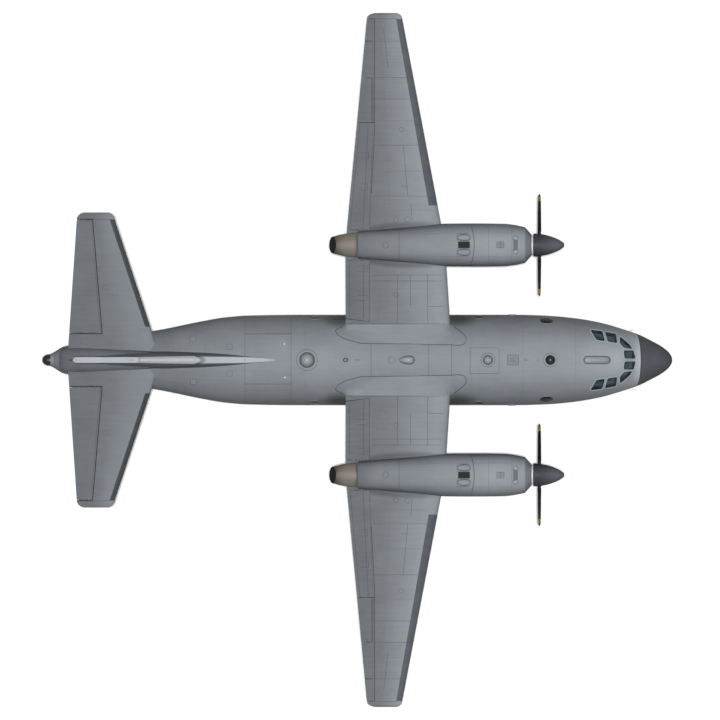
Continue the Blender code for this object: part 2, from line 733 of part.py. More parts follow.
def make_wing():
    spans = (-WING_BREAK_Y, -ENGINE_Y, -1.5, 0.0, 1.5, ENGINE_Y, WING_BREAK_Y)
    centre = loft("center_wing", [wing_ring(y) for y in spans], WING_PAINT)
    for side, word in ((1, "left"), (-1, "right")):
        boolean(centre, cove(f"cut_inboard_flap_{word}", FLAP_INNER, side))

    tips = [s[0] for s in WING.stations if s[0] > TIP_CAP_Y]
    rings = [WING.section(y) for y in (WING_BREAK_Y + FIT, OUTER_ROOT_Y, 9.81, TIP_CAP_Y, *tips)]
    outer = loft("outer_wing_left", rings, WING_PAINT)
    boolean(outer, cove("cut_outboard_flap", FLAP_OUTER, 1))
    boolean(outer, cove("cut_aileron", AILERON, 1))
    baked(outer)
    mirrored(outer, "outer_wing_right", WING_PAINT)

    for side, word in ((1, "left"), (-1, "right")):
        for name, item, drop in (
            ("inboard_flap", FLAP_INNER, FLAP_HINGE_DROP),
            ("outboard_flap", FLAP_OUTER, FLAP_HINGE_DROP),
            ("aileron", AILERON, 0.0),
        ):
            piece = moving(f"{name}_{word}", item, side, WING_PAINT)
            surface, inner = item[0], item[1]
            x, middle, _ = nose_of(item, inner)
            place = surface.place(inner, x, middle - drop)
            pivot(f"{name}_{word}_hinge", (place.x, side * place.y, place.z), [piece])


# ------------------------------------------------------------------ tail
def make_tail():
    tips = [s[0] for s in TAILPLANE.stations if s[0] > TAILPLANE_END[0]]
    spans = (0.0, TAIL_SEAT_Y, 3.0, TAILPLANE_END[0], *tips)
    rings = [TAILPLANE.section(y) for y in reversed(spans)]
    rings = [[Vector((p.x, -p.y, p.z)) for p in ring] for ring in rings[:-1]]
    rings += [TAILPLANE.section(y) for y in spans]
    tailplane = loft("tailplane", rings, TAIL_PAINT)
    for side, word in ((1, "left"), (-1, "right")):
        boolean(tailplane, cove(f"cut_elevator_{word}", ELEVATOR, side))
        piece = moving(f"elevator_{word}", ELEVATOR, side, TAIL_PAINT)
        x, middle, _ = nose_of(ELEVATOR, ELEVATOR[1])
        pivot(f"elevator_{word}_hinge", (x, side * ELEVATOR[1], TAILPLANE_Z + middle), [piece])

    tips = [s[0] for s in FIN.stations if s[0] > FIN_CAP_Z]
    rings = [FIN.section(z) for z in (FIN_BASE_Z, 5.30, FIN_CAP_Z, *tips)]
    fin = loft("fin", rings, TAIL_PAINT)
    boolean(fin, dorsal_fin(), "UNION")
    hull = body_solid("cut_fin_hull", REAR_STATIONS, -SEAT)
    boolean(fin, hull)
    left = loft("cut_fin_tailplane", [TAILPLANE.section(y, grow=SEAT) for y in (0.0, TAIL_SEAT_Y)])
    right = mirrored(left, "cut_fin_tailplane_right")
    boolean(fin, left)
    boolean(fin, right)
    boolean(fin, cove("cut_rudder", RUDDER, 1))
    rudder = moving("rudder", RUDDER, 1, TAIL_PAINT)
    x, _, _ = nose_of(RUDDER, RUDDER[1])
    pivot("rudder_hinge", (x, 0, RUDDER[1]), [rudder])


def dorsal_fin():
    """The low ridge that runs from the crown up to the fin's leading edge."""
    rings = []
    for x, height, width in (
        (-3.42, 4.64, 0.02), (-4.4, 4.78, 0.16), (-5.36, 4.99, 0.28), (-6.3, 5.34, 0.34), (-7.0, 5.60, 0.34),
    ):
        rings.append([
            Vector((x, width, 4.40)), Vector((x, width * 0.75, (height + 4.5) / 2)),
            Vector((x, width * 0.35, height - 0.02)), Vector((x, -width * 0.35, height - 0.02)),
            Vector((x, -width * 0.75, (height + 4.5) / 2)), Vector((x, -width, 4.40)),
        ])
    return loft("add_dorsal_fin", rings)


# ------------------------------------------------------------------ engines
# (x, half width, top z, bottom z) from the front face to the nozzle joint.
NACELLE_LINES = [
    (7.20, 0.435, 4.47, 3.60), (6.93, 0.74, 4.74, 3.26), (6.50, 0.83, 4.83, 3.12),
    (6.03, 0.88, 4.90, 3.06), (4.80, 0.893, 4.97, 3.06), (3.66, 0.885, 5.00, 3.10),
    (2.70, 0.81, 5.02, 3.30), (1.72, 0.71, 5.02, 3.62), (0.70, 0.61, 5.00, 4.02), (0.01, 0.56, 4.97, 4.22),
]
COWLING_REAR_X = 4.82
NOZZLE_FRONT_X, NOZZLE_REAR_X = -0.03, -1.17


def nacelle_ring(x, inset=0.0, sides=20, y=ENGINE_Y):
    pair = [(a, b) for a, b in zip(NACELLE_LINES, NACELLE_LINES[1:]) if b[0] <= x <= a[0]][0]
    t = (pair[0][0] - x) / (pair[0][0] - pair[1][0])
    w, top, low = (p + (q - p) * t for p, q in zip(pair[0][1:], pair[1][1:]))
    middle, rise = (top + low) / 2, (top - low) / 2
    ring = []
    for i in range(sides):
        a = math.tau * i / sides
        s, c = math.sin(a), math.cos(a)
        swell = (abs(s) ** 2.4 + abs(c) ** 2.4) ** (-1 / 2.4)
        ring.append(Vector((x, y + (w - inset) * s * swell, middle + (rise - inset) * c * swell)))
    return ring


def circle(x, y, z, radius, sides=20):
    return [
        Vector((x, y + radius * math.sin(math.tau * i / sides), z + radius * math.cos(math.tau * i / sides)))
        for i in range(sides)
    ]


def make_engine(side, word):
    y = side * ENGINE_Y
    xs = [7.20, 6.93, 6.50, 6.03, COWLING_REAR_X]
    bore = 0.16
    outer = [nacelle_ring(x, y=y) for x in reversed(xs)]
    inner = [nacelle_ring(x, 0.05, y=y) for x in xs[1:]]
    front = [circle(7.20, y, PROP_AXIS_Z, bore), circle(7.15, y, PROP_AXIS_Z, bore)]
    cowling = loft(f"engine_cowling_{word}", outer + front + inner, GREY_PAINT, closed=True)
    boolean(cowling, box(f"cut_chin_intake_{word}", (6.6, y - 0.30, 3.28), (7.6, y + 0.30, 3.50)))

    xs = [COWLING_REAR_X - FIT, 3.66, 2.70, 1.72, 0.70, 0.01]
    nacelle = loft(f"nacelle_{word}", [nacelle_ring(x, y=y) for x in xs], WING_PAINT)
    spans = [side * s for s in (3.6, ENGINE_Y, WING_BREAK_Y, OUTER_ROOT_Y)]
    cutter = loft(f"cut_nacelle_wing_{word}", [wing_ring(s, grow=SEAT) for s in spans])
    boolean(nacelle, cutter)

    engine_ends = [(6.95, y, PROP_AXIS_Z), (4.90, y, PROP_AXIS_Z)]
    engine = rod(f"engine_{word}", engine_ends[0], engine_ends[1], 0.37, BARE_METAL, 16)
    shaft = rod(f"add_shaft_{word}", (6.9, y, PROP_AXIS_Z), (7.235, y, PROP_AXIS_Z), 0.12, None, 16)
    boolean(engine, shaft, "UNION")
    make_nozzle(y, word)


def make_nozzle(y, word):
    """The jet pipe, cut on the slant so that its mouth shows from above."""
    stations = [(NOZZLE_FRONT_X, 0.50, 0.335, 4.60), (-0.50, 0.47, 0.300, 4.605), (-0.92, 0.37, 0.255, 4.61)]
    rings = []
    for x, w, h, z in stations:
        rings.append([Vector((x, y + w * math.sin(a), z + h * math.cos(a))) for a in turn_angles(20)])
    lip = []
    for a in turn_angles(20):
        slant = (1 - math.cos(a)) / 2
        lip.append(Vector((-0.95 + (NOZZLE_REAR_X + 0.95) * slant, y + 0.31 * math.sin(a), 4.61 + 0.235 * math.cos(a))))
    middle = Vector((0, y, 4.61))
    bore = []
    for ring in [lip] + rings[:0:-1]:
        bore.append([Vector((p.x + 0.01, y + (p.y - y) * 0.93, middle.z + (p.z - middle.z) * 0.92)) for p in ring])
    end = [Vector((-0.20, y + (p.y - y) * 0.8, middle.z + (p.z - middle.z) * 0.8)) for p in rings[0]]
    loft(f"exhaust_nozzle_{word}", rings + [lip] + bore + [end], HOT_METAL)


def turn_angles(count):
    return [math.tau * i / count for i in range(count)]


def make_propeller(side, word):
    y = side * ENGINE_Y
    profile = [
        (0.0, 1.03), (0.08, 1.01), (0.14, 0.935), (0.21, 0.83), (0.29, 0.66), (0.36, 0.47),
        (0.41, 0.30), (0.455, 0.05), (0.475, -0.12), (0.478, -0.25), (0.0, -0.25),
    ]
    spinner = turned(f"spinner_{word}", profile, (0, 0, 0), DARK_PAINT, 24)
    spinner.rotation_euler = (0, math.radians(90), 0)
    spinner.location = (PROP_PLANE_X, y, PROP_AXIS_Z)
    bpy.context.view_layer.update()
    moved = [spinner]
    for i in range(BLADES_PER_PROPELLER):
        angle = math.tau * i / BLADES_PER_PROPELLER
        outward = Vector((0, math.cos(angle), math.sin(angle)))
        centre = Vector((PROP_PLANE_X, y, PROP_AXIS_Z))
        hole = rod(f"cut_shank_{word}_{i}", centre + outward * 0.25, centre + outward * 0.70, 0.068, None, 16)
        boolean(spinner, hole)
        moved.append(make_blade(f"propeller_blade_{word}_{i + 1}", centre, angle))
    pivot(f"propeller_{word}_shaft", (PROP_PLANE_X, y, PROP_AXIS_Z), moved)


# (radius, chord, thickness, pitch in degrees)
BLADE_LINES = [
    (0.2504, 0.130, 0.130, 90), (0.50, 0.130, 0.130, 90), (0.66, 0.20, 0.095, 42), (0.95, 0.29, 0.058, 27),
    (1.35, 0.33, 0.040, 23), (1.75, 0.32, 0.026, 21.5), (2.03, 0.28, 0.016, 21), (PROP_RADIUS, 0.13, 0.008, 21),
]


def make_blade(name, centre, angle):
    rings = []
    spin = Matrix.Rotation(angle, 4, "X")
    for radius, chord, thick, pitch in BLADE_LINES:
        twist = math.radians(pitch)
        ring = []
        for i in range(12):
            a = math.tau * i / 12
            along, across = chord / 2 * math.cos(a), thick / 2 * math.sin(a)
            forward = along * math.sin(twist) + across * math.cos(twist)
            sweep = along * math.cos(twist) - across * math.sin(twist)
            ring.append(centre + spin @ Vector((forward, radius, sweep)))
        rings.append(ring)
    return loft(name, rings, BLADE_PAINT)


# ------------------------------------------------------------------ landing gear
def wheel_profile(radius, half_tread, rim, bore):
    """Half of a wheel's outline, from its outer face's bore to the tread's middle."""
    return [
        (bore, half_tread * 0.80), (rim * 0.55, half_tread * 0.80), (rim * 0.88, half_tread * 0.50),
        (rim, half_tread * 0.86), (radius * 0.88, half_tread), (radius, half_tread * 0.45),
    ]


def make_main_gear(side, word):
    bay_top = 1.36
    y0, y1 = 1.30, 2.36
    sections = []
    for x, spread, low in (
        (3.66, 0.30, 1.15), (3.30, 0.62, 0.86), (2.70, 0.88, 0.66), (1.9, 1.0, 0.60),
        (0.7, 1.0, 0.60), (0.20, 0.86, 0.68), (-0.40, 0.35, 1.10),
    ):
        out = 1.80 + 0.68 * spread
        top = 1.60 + 0.75 * spread
        sections.append([Vector((x, side * a, b)) for a, b in (
            (0.90, low), (1.90 * (0.55 + 0.45 * spread), low), (out - 0.10, low + 0.06), (out, low + 0.30),
            (out, 1.55), (out - 0.10, 1.60 + 0.45 * spread), (1.72, top), (0.90, 1.9),
        )])
    sponson = loft(f"sponson_{word}", sections, WING_PAINT)
    hull = body_solid(f"cut_sponson_hull_{word}", (-2.0, 0.0, 2.0, 4.0), -SEAT)
    boolean(sponson, hull)
    low_x, high_x = MAIN_WHEEL_XS[1] - 0.60, MAIN_WHEEL_XS[0] + 0.60
    ys = sorted((side * y0, side * y1))
    boolean(sponson, box(f"cut_bay_{word}", (low_x, ys[0], 0.0), (high_x, ys[1], bay_top)))

    leg_y = side * 1.70
    leg = box(f"main_gear_{word}", (0.38, leg_y - 0.07, 1.10), (1.92, leg_y + 0.07, bay_top - FIT), GEAR_PAINT)
    for i, x in enumerate(MAIN_WHEEL_XS):
        axle_z = MAIN_WHEEL_RADIUS
        strut = rod(f"add_strut_{word}_{i}", (x, leg_y, axle_z), (x, leg_y, 1.20), 0.075, None, 12)
        axle = rod(f"add_axle_{word}_{i}", (x, leg_y, axle_z), (x, side * (MAIN_WHEEL_Y + 0.10), axle_z), 0.055, None, 12)
        boolean(leg, strut, "UNION")
        boolean(leg, axle, "UNION")
        half = wheel_profile(MAIN_WHEEL_RADIUS, 0.165, 0.24, 0.060)
        profile = half + [(r, -z) for r, z in reversed(half)]
        name = f"main_wheel_{('front', 'rear')[i]}_{word}"
        wheel = turned(name, profile, (x, side * MAIN_WHEEL_Y, axle_z), TYRE, 20, closed=True)
        pivot(f"{name}_axle", wheel.location, [wheel])


def make_nose_gear():
    x, r = NOSE_GEAR_X, NOSE_WHEEL_RADIUS
    yoke_top = 0.98
    leg = rod("nose_gear_leg", (x, 0, yoke_top + 0.006), (x, 0, 2.2996), 0.10, GEAR_PAINT, 16)
    brace = rod("add_drag_brace", (x - 0.02, 0, 1.15), (9.30, 0, 1.70), 0.04, None, 10)
    boolean(leg, brace, "UNION")
    boolean(leg, rod("add_steering_collar", (x, 0, 1.10), (x, 0, 1.22), 0.14, None, 16), "UNION")

    yoke = rod("nose_gear_yoke", (x, 0, r), (x, 0, yoke_top), 0.07, GEAR_PAINT, 16)
    boolean(yoke, rod("add_axle_sleeve", (x, -0.09, r), (x, 0.09, r), 0.085, None, 16), "UNION")
    boolean(yoke, rod("cut_axle_bore", (x, -0.3, r), (x, 0.3, r), 0.052, None, 16))
    baked(yoke)

    track = 0.24
    half = wheel_profile(r, 0.115, 0.17, 0.05)
    left = [(q, track + z) for q, z in half] + [(q, track - z) for q, z in reversed(half[1:])]
    left.append((0.05, track - half[0][1]))
    right = [(q, -z) for q, z in reversed(left)]
    profile = [(0.0, left[0][1])] + left + right + [(0.0, right[-1][1])]
    wheels = turned("nose_wheels", profile, (x, 0, r), TYRE, 20)
    spin = pivot("nose_wheel_axle", (x, 0, r), [wheels])
    pivot("nose_steering_axis", (x, 0, yoke_top), [yoke, spin])

    (x0, x1), y, _ = NOSE_WELL["x"], NOSE_WELL["y"], NOSE_WELL["z"]
    for side, word in ((1, "left"), (-1, "right")):
        inner = side * (y + 0.012)
        outer = side * (y + 0.10)
        ring = []
        for px in (x0 + 0.02, x1 - 0.02):
            top, low = bottom_z(px) + 0.005, 0.80
            ring.append([
                Vector((px, inner, top)), Vector((px, inner + side * 0.02, top)),
                Vector((px, outer + side * 0.02, low)), Vector((px, outer, low)),
            ])
        loft(f"nose_gear_door_{word}", ring, GREY_PAINT)


# ------------------------------------------------------------------ build
def main():
    make_nose()
    make_glazing()
    make_interior()
    make_centre_fuselage()
    make_wing_fairing()
    make_rear_fuselage()
    make_tail_cone()
    make_wing()
    make_tail()
    make_nose_gear()
    for side, word in ((1, "left"), (-1, "right")):
        make_engine(side, word)
        make_propeller(side, word)
        make_main_gear(side, word)


main()
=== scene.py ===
# %% [markdown]
# # A twin-turboprop military transport plane
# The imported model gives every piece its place, its size and its joint. This lesson dresses it: finer skins
# over the same lines, seams and fittings, then one procedural finish for each surface of the real plane.
# The frame is in metres: +X towards the nose, +Y towards the left wing tip, +Z up, the ground at zero.

# %% Load the frame
import math

import bmesh
import bpy
from mathutils import Matrix, Vector
from mathutils.bvhtree import BVHTree


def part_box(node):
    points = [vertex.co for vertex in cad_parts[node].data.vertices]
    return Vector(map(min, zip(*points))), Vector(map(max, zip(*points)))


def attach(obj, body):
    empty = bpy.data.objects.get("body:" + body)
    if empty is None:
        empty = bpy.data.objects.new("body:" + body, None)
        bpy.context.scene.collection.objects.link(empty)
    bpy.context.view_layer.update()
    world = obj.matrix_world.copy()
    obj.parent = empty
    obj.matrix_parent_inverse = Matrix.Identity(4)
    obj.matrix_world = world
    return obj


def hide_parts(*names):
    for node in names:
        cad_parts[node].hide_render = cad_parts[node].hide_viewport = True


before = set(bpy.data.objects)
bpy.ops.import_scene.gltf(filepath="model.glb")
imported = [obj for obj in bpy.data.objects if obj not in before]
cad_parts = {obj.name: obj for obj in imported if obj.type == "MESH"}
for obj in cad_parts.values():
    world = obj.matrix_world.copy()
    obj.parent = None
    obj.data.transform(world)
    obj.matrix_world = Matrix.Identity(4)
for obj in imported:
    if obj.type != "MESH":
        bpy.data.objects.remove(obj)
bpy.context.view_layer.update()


# %% [markdown]
# ## Places taken from the frame
# A fitting that sits on another piece has to follow it if the design changes. So the engine axis, the
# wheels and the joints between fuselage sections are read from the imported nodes, not typed again.

# %% Read the main places
def low(node):
    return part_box(node)[0]


def high(node):
    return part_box(node)[1]


def centre(node):
    return (low(node) + high(node)) / 2


ENGINE_Y = centre("engine_left").y
PROP_AXIS_Z = centre("engine_left").z
PROP_PLANE_X = centre("propeller_blade_left_1").x
PROP_RADIUS = high("propeller_blade_left_1").y - ENGINE_Y
NOSE_TIP_X = high("radome").x
TAIL_JOINT_X = low("rear_fuselage").x
REAR_JOINT_X = high("rear_fuselage").x
FRONT_JOINT_X = low("nose_section").x
NOTCH_FRONT_X, NOTCH_REAR_X = high("wing_fairing").x, low("wing_fairing").x
NOTCH_Z = low("wing_fairing").z
HALF_SPAN = high("outer_wing_left").y
SIDES = ((1, "left"), (-1, "right"))
print("engine axis at y", round(ENGINE_Y, 3), "z", round(PROP_AXIS_Z, 3), "propeller radius",
    round(PROP_RADIUS, 3))

# %% [markdown]
# ## The fuselage lines
# A fuselage is drawn as four lines along its length: half width, top, bottom, and the height at which it
# is widest. A monotone spline through a few stations never overshoots them, as a fairing batten wouldn't.
# The stations are spaced by the square root of the distance behind the nose, so the nose closes round.

# %% Draw the lines
SKIN = 0.06
NOSE_JOINT_X = 11.55
HALF_WIDTH_POINTS = [
    (-13.0, 0.1), (-12.65, 0.27), (-12.14, 0.56), (-8.0, 1.28), (-6.5, 1.59), (-5.5, 1.76),
    (-4.5, 1.84), (-2.4, 1.87), (6.5, 1.87), (7.9, 1.83), (9.0, 1.73), (10.0, 1.56),
    (11.0, 1.28), (11.72, 1.03), (12.18, 0.8), (12.55, 0.6), (13.05, 0.0),
]
TOP_POINTS = [
    (-13.0, 4.15), (-12.65, 4.24), (-12.14, 4.34), (-8.0, 4.57), (-6.5, 4.6), (-2.4, 4.62),
    (6.5, 4.62), (7.9, 4.615), (9.0, 4.56), (10.0, 4.38), (10.6, 4.19), (11.04, 3.96),
    (11.5, 3.42), (11.74, 3.25), (12.18, 2.98), (12.55, 2.76), (13.05, 2.15),
]
BOTTOM_POINTS = [
    (-13.0, 3.99), (-12.65, 3.9), (-12.14, 3.78), (-10.2, 3.45), (-8.0, 2.87), (-6.5, 2.3),
    (-5.5, 1.86), (-4.5, 1.42), (-3.3, 0.99), (-2.4, 0.88), (6.5, 0.88), (7.9, 0.89),
    (9.0, 0.94), (10.0, 1.03), (11.0, 1.18), (11.72, 1.33), (12.18, 1.47), (12.55, 1.62),
    (13.05, 2.15),
]
MID_POINTS = [
    (-13.0, 4.07), (-12.14, 4.06), (-10.2, 3.98), (-8.0, 3.72), (-6.5, 3.42), (-4.5, 2.98),
    (-2.4, 2.75), (6.5, 2.75), (7.9, 2.74), (10.0, 2.6), (11.72, 2.26), (13.05, 2.15),
]
NOSE_LEAN = 0.19


def smooth_line(points, end=13.05):
    knots = sorted((math.sqrt(max(end - x, 0.0)), value) for x, value in points)
    rises = [(b[1] - a[1]) / (b[0] - a[0]) for a, b in zip(knots, knots[1:])]
    slopes = [rises[0]]
    for left, right in zip(rises, rises[1:]):
        slopes.append(2 * left * right / (left + right) if left * right > 0 else 0.0)
    slopes.append(rises[-1])

    def value_at(x):
        u = min(max(math.sqrt(max(end - x, 0.0)), knots[0][0]), knots[-1][0])
        i = max(k for k in range(len(rises)) if k == 0 or knots[k][0] <= u)
        (u0, v0), (u1, v1) = knots[i], knots[i + 1]
        step = u1 - u0
        t = (u - u0) / step
        rise = slopes[i] * (1 - t) + slopes[i + 1] * -t
        return v0 * (1 + 2 * t) * (1 - t) ** 2 + v1 * t * t * (3 - 2 * t) + rise * step * t * (1 - t)

    return value_at


half_width = smooth_line(HALF_WIDTH_POINTS)
top_z = smooth_line(TOP_POINTS)
bottom_z = smooth_line(BOTTOM_POINTS)
mid_z = smooth_line(MID_POINTS)


def ease(t):
    t = min(max(t, 0.0), 1.0)
    return t * t * (3 - 2 * t)


def body_point(x, angle, inset=0.0):
    """A point of the fuselage skin: angle 0 is the crown, and a quarter turn is the left side."""
    x = min(x, NOSE_TIP_X - 1e-6)
    middle = mid_z(x)
    reach = top_z(x) - middle if math.cos(angle) > 0 else middle - bottom_z(x)
    side, rise = max(half_width(x) - inset, 0.01), max(reach - inset, 0.01)
    return Vector((x, side * math.sin(angle), middle + rise * math.cos(angle)))


def leaning_point(x, angle, inset=0.0):
    """The same, on a section plane that leans forward with the windscreen."""
    lean = NOSE_LEAN * ease((x - 9.4) / 2.0) * (1 - ease((x - 11.8) / 1.2))
    middle = mid_z(x)
    shifted = x
    for _ in range(4):
        shifted = x + lean * (body_point(shifted, angle, inset).z - middle)
    return body_point(shifted, angle, inset)


def body_ring(x, inset=0.0, sides=96):
    return [leaning_point(x, math.tau * i / sides, inset) for i in range(sides)]


def stations(start, end, pitch=0.16):
    """Evenly spaced places from start to end, both included."""
    count = max(2, math.ceil(abs(end - start) / pitch))
    return [start + (end - start) * i / count for i in range(count + 1)]


print("widest:", round(2 * half_width(2.0), 2), "m; crown at", round(top_z(2.0), 2), "m")

# %% [markdown]
# ## The aerofoil surfaces
# Wing, tailplane and fin are all tapered aerofoils, so one small class draws them. Each station holds a
# span, a leading and trailing edge, a height and a thickness ratio, and points between are interpolated.

# %% Draw wing, tailplane and fin
FIT, RUN, END_GAP = 0.0004, 0.01, 0.03


class Surface:
    def __init__(self, stations, camber=0.0, upright=False):
        self.stations, self.camber, self.upright = stations, camber, upright

    def station(self, span):
        inside = [i for i in range(len(self.stations) - 1) if self.stations[i][0] <= span]
        i = inside[-1] if inside else 0
        a, b = self.stations[i], self.stations[i + 1]
        t = (span - a[0]) / (b[0] - a[0])
        return [p + (q - p) * t for p, q in zip(a, b)][1:]

    def offset(self, span, x, side):
        leading, trailing, _, ratio = self.station(span)
        chord = leading - trailing
        u = min(max((leading - x) / chord, 0.0), 1.0)
        half = 5 * ratio * chord * (
            0.2969 * math.sqrt(u) - 0.126 * u - 0.3516 * u**2 + 0.2843 * u**3 - 0.1036 * u**4
        )
        return 4 * self.camber * chord * u * (1 - u) + side * max(half, 0.004 if u > 0.5 else 0.0)

    def place(self, span, x, offset):
        height = self.station(span)[2]
        if self.upright:
            return Vector((x, offset + height, span))
        return Vector((x, span, height + offset))

    def section(self, span, grow=0.0, steps=26, first=1.0):
        """A closed ring from the upper trailing edge, round the nose, to the lower trailing edge."""
        leading, trailing, _, _ = self.station(span)
        chord = leading - trailing
        cuts = [first * (1 + math.cos(math.pi * i / steps)) / 2 for i in range(steps)]
        ring = []
        for side, order in ((1, cuts), (-1, cuts[::-1])):
            for u in order:
                x = leading - u * chord
                away = Vector((0, side * grow, 0)) if self.upright else Vector((0, 0, side * grow))
                away.x = grow * (1 - 2 * u)
                ring.append(self.place(span, x, self.offset(span, x, side)) + away)
            if side > 0:
                ring.append(self.place(span, leading, 0.0) + Vector((grow, 0, 0)))
        return ring


WING_Z, DIHEDRAL = 4.12, math.tan(math.radians(2.0))
WING_BREAK_Y, OUTER_ROOT_Y, TIP_CAP_Y = 5.2, 5.9, 14.13
LEADING_BREAK_X, LEADING_TIP_X = 3.62, 1.844
TRAILING_BREAK_X, TRAILING_TIP_X = -0.5, 0.389


def wing_height(y):
    return WING_Z + max(y - WING_BREAK_Y, 0.0) * DIHEDRAL


def outer_edge(at_break, at_tip, y):
    return at_break + (at_tip - at_break) * (y - ENGINE_Y) / (TIP_CAP_Y - ENGINE_Y)


def rounded_tip(last, tip_span, leading_pull, trailing_pull, climb=0.0, count=7):
    span, leading, trailing, height, ratio = last
    found = []
    for i in range(1, count + 1):
        f = 0.98 * math.sin(math.pi / 2 * i / count)
        pull = 1 - math.sqrt(1 - f * f)
        found.append((
            span + (tip_span - span) * f / 0.98, leading - leading_pull * pull,
            trailing + trailing_pull * pull, height + climb * (tip_span - span) * f,
            ratio * math.sqrt(1 - 0.93 * f * f),
        ))
    return found


WING_END = (TIP_CAP_Y, LEADING_TIP_X, TRAILING_TIP_X, wing_height(TIP_CAP_Y), 0.12)
WING = Surface(
    [
        (0.0, 3.93, -0.48, WING_Z, 0.15),
        (ENGINE_Y, LEADING_BREAK_X, TRAILING_BREAK_X, WING_Z, 0.15),
        (
            WING_BREAK_Y, outer_edge(LEADING_BREAK_X, LEADING_TIP_X, WING_BREAK_Y),
            outer_edge(TRAILING_BREAK_X, TRAILING_TIP_X, WING_BREAK_Y), WING_Z, 0.15,
        ),
        WING_END,
        *rounded_tip(WING_END, HALF_SPAN, 0.3, 0.42, DIHEDRAL),
    ],
    camber=0.018,
)
TAILPLANE_Z = 4.36
TAILPLANE_END = (5.81, -10.05, -11.61, TAILPLANE_Z, 0.11)
TAILPLANE = Surface([
    (0.0, -8.12, -12.0, TAILPLANE_Z, 0.105), TAILPLANE_END,
    *rounded_tip(TAILPLANE_END, high("tailplane").y, 0.3, 0.35),
])
FIN_CAP_Z = 9.45
FIN_END = (FIN_CAP_Z, -9.02, -11.72, 0.0, 0.11)
FIN = Surface(
    [
        (4.3, -5.7, -12.05, 0.0, 0.098), (5.3, -6.28, -11.98, 0.0, 0.105), FIN_END,
        *rounded_tip(FIN_END, high("fin").z, 0.35, 0.25),
    ],
    upright=True,
)
# (surface, inner span, outer span, hinge x at each, rake of the inner end)
FLAP_INNER = (WING, 1.6, ENGINE_Y - 0.64, 0.42, 0.42, 0.14)
FLAP_OUTER = (WING, ENGINE_Y + 0.64, 9.79, 0.434, 0.6, 0.0)
AILERON = (WING, 9.83, 14.09, 0.616, 0.616, 0.0)
ELEVATOR = (TAILPLANE, 1.14, 5.77, -10.69, -11.05, 0.0)
RUDDER = (FIN, 4.8, 9.41, -10.45, -10.86, 0.0)


def hinge_x(item, span):
    _, inner, outer, x_inner, x_outer, _ = item
    return x_inner + (x_outer - x_inner) * (span - inner) / (outer - inner)


def nose_of(item, span):
    """Centre and radius of the round nose of a moving surface."""
    surface, x = item[0], hinge_x(item, span)
    top, bottom = surface.offset(span, x, 1), surface.offset(span, x, -1)
    return x, (top + bottom) / 2, (top - bottom) / 2


def raked(item, span, ring):
    surface, inner, outer = item[:3]
    slant = item[5] if span < (inner + outer) / 2 else 0.0
    hinge = hinge_x(item, span)
    return [surface.place(span, x, offset) + Vector((0, slant * (hinge - x), 0)) for x, offset in ring]


def moving_section(item, span, steps=12):
    surface = item[0]
    x, middle, radius = nose_of(item, span)
    trailing = surface.station(span)[1]
    back = [x + (trailing - x) * i / steps for i in range(steps, 0, -1)]
    ring = [(at, surface.offset(span, at, 1)) for at in back]
    for i in range(steps + 1):
        angle = math.pi / 2 - math.pi * i / steps
        ring.append((x + radius * math.cos(angle), middle + radius * math.sin(angle)))
    ring += [(at, surface.offset(span, at, -1)) for at in reversed(back)]
    return raked(item, span, ring)


def cove_section(item, span, steps=10):
    x, middle, radius = nose_of(item, span)
    room, lip, far, tall = radius + RUN, math.radians(34), 2.0, 0.6
    ring = [(x - far, middle + tall), (x + room * math.sin(lip), middle + tall)]
    for i in range(steps + 1):
        angle = math.pi / 2 - lip - (math.pi - 2 * lip) * i / steps
        ring.append((x + room * math.cos(angle), middle + room * math.sin(angle)))
    ring += [(x + room * math.sin(lip), middle - tall), (x - far, middle - tall)]
    return raked(item, span, ring)


print("wing area about", round(2 * (ENGINE_Y * 4.25 + (HALF_SPAN - ENGINE_Y) * 2.8)), "square metres")

# %% [markdown]
# ## Mesh helpers
# Most of the plane is skins drawn over rings of points. The helpers below make such a skin, cut it with a
# Boolean, and shade it smooth with its real edges kept sharp. Cutters are thrown away once they are used.

# %% Skins, cuts and copies
def new_object(name, mesh):
    obj = bpy.data.objects.new(name, mesh)
    bpy.context.scene.collection.objects.link(obj)
    return obj


def loft(name, rings, closed=False, capped=True):
    """A skin over rings of equal length. A closed one joins its last ring to its first."""
    bm = bmesh.new()
    made = [[bm.verts.new(p) for p in ring] for ring in rings]
    pairs = list(zip(made, made[1:])) + ([(made[-1], made[0])] if closed else [])
    for a, b in pairs:
        for i in range(len(a)):
            k = (i + 1) % len(a)
            bm.faces.new((a[i], a[k], b[k], b[i]))
    if capped and not closed:
        bm.faces.new(made[0])
        bm.faces.new(made[-1])
    bmesh.ops.recalc_face_normals(bm, faces=bm.faces)
    if capped and bm.calc_volume(signed=True) < 0:
        bmesh.ops.reverse_faces(bm, faces=bm.faces)
    mesh = bpy.data.meshes.new(name)
    bm.to_mesh(mesh)
    bm.free()
    return new_object(name, mesh)


def applied(obj):
    """Makes the object's modifiers part of its mesh."""
    graph = bpy.context.evaluated_depsgraph_get()
    obj.data = bpy.data.meshes.new_from_object(obj.evaluated_get(graph))
    obj.modifiers.clear()
    return obj


def cut(obj, *cutters, operation="DIFFERENCE"):
    for cutter in cutters:
        step = obj.modifiers.new("cut", "BOOLEAN")
        step.operation, step.solver, step.object = operation, "EXACT", cutter
        applied(obj)
        bpy.data.objects.remove(cutter, do_unlink=True)
    return obj


def bevelled(obj, width, segments=2, angle=40):
    step = obj.modifiers.new("bevel", "BEVEL")
    step.width, step.segments, step.limit_method = width, segments, "ANGLE"
    step.angle_limit = math.radians(angle)
    return applied(obj)


def smooth(obj, angle=32):
    obj.data.shade_smooth()
    obj.data.set_sharp_from_angle(angle=math.radians(angle))
    return obj


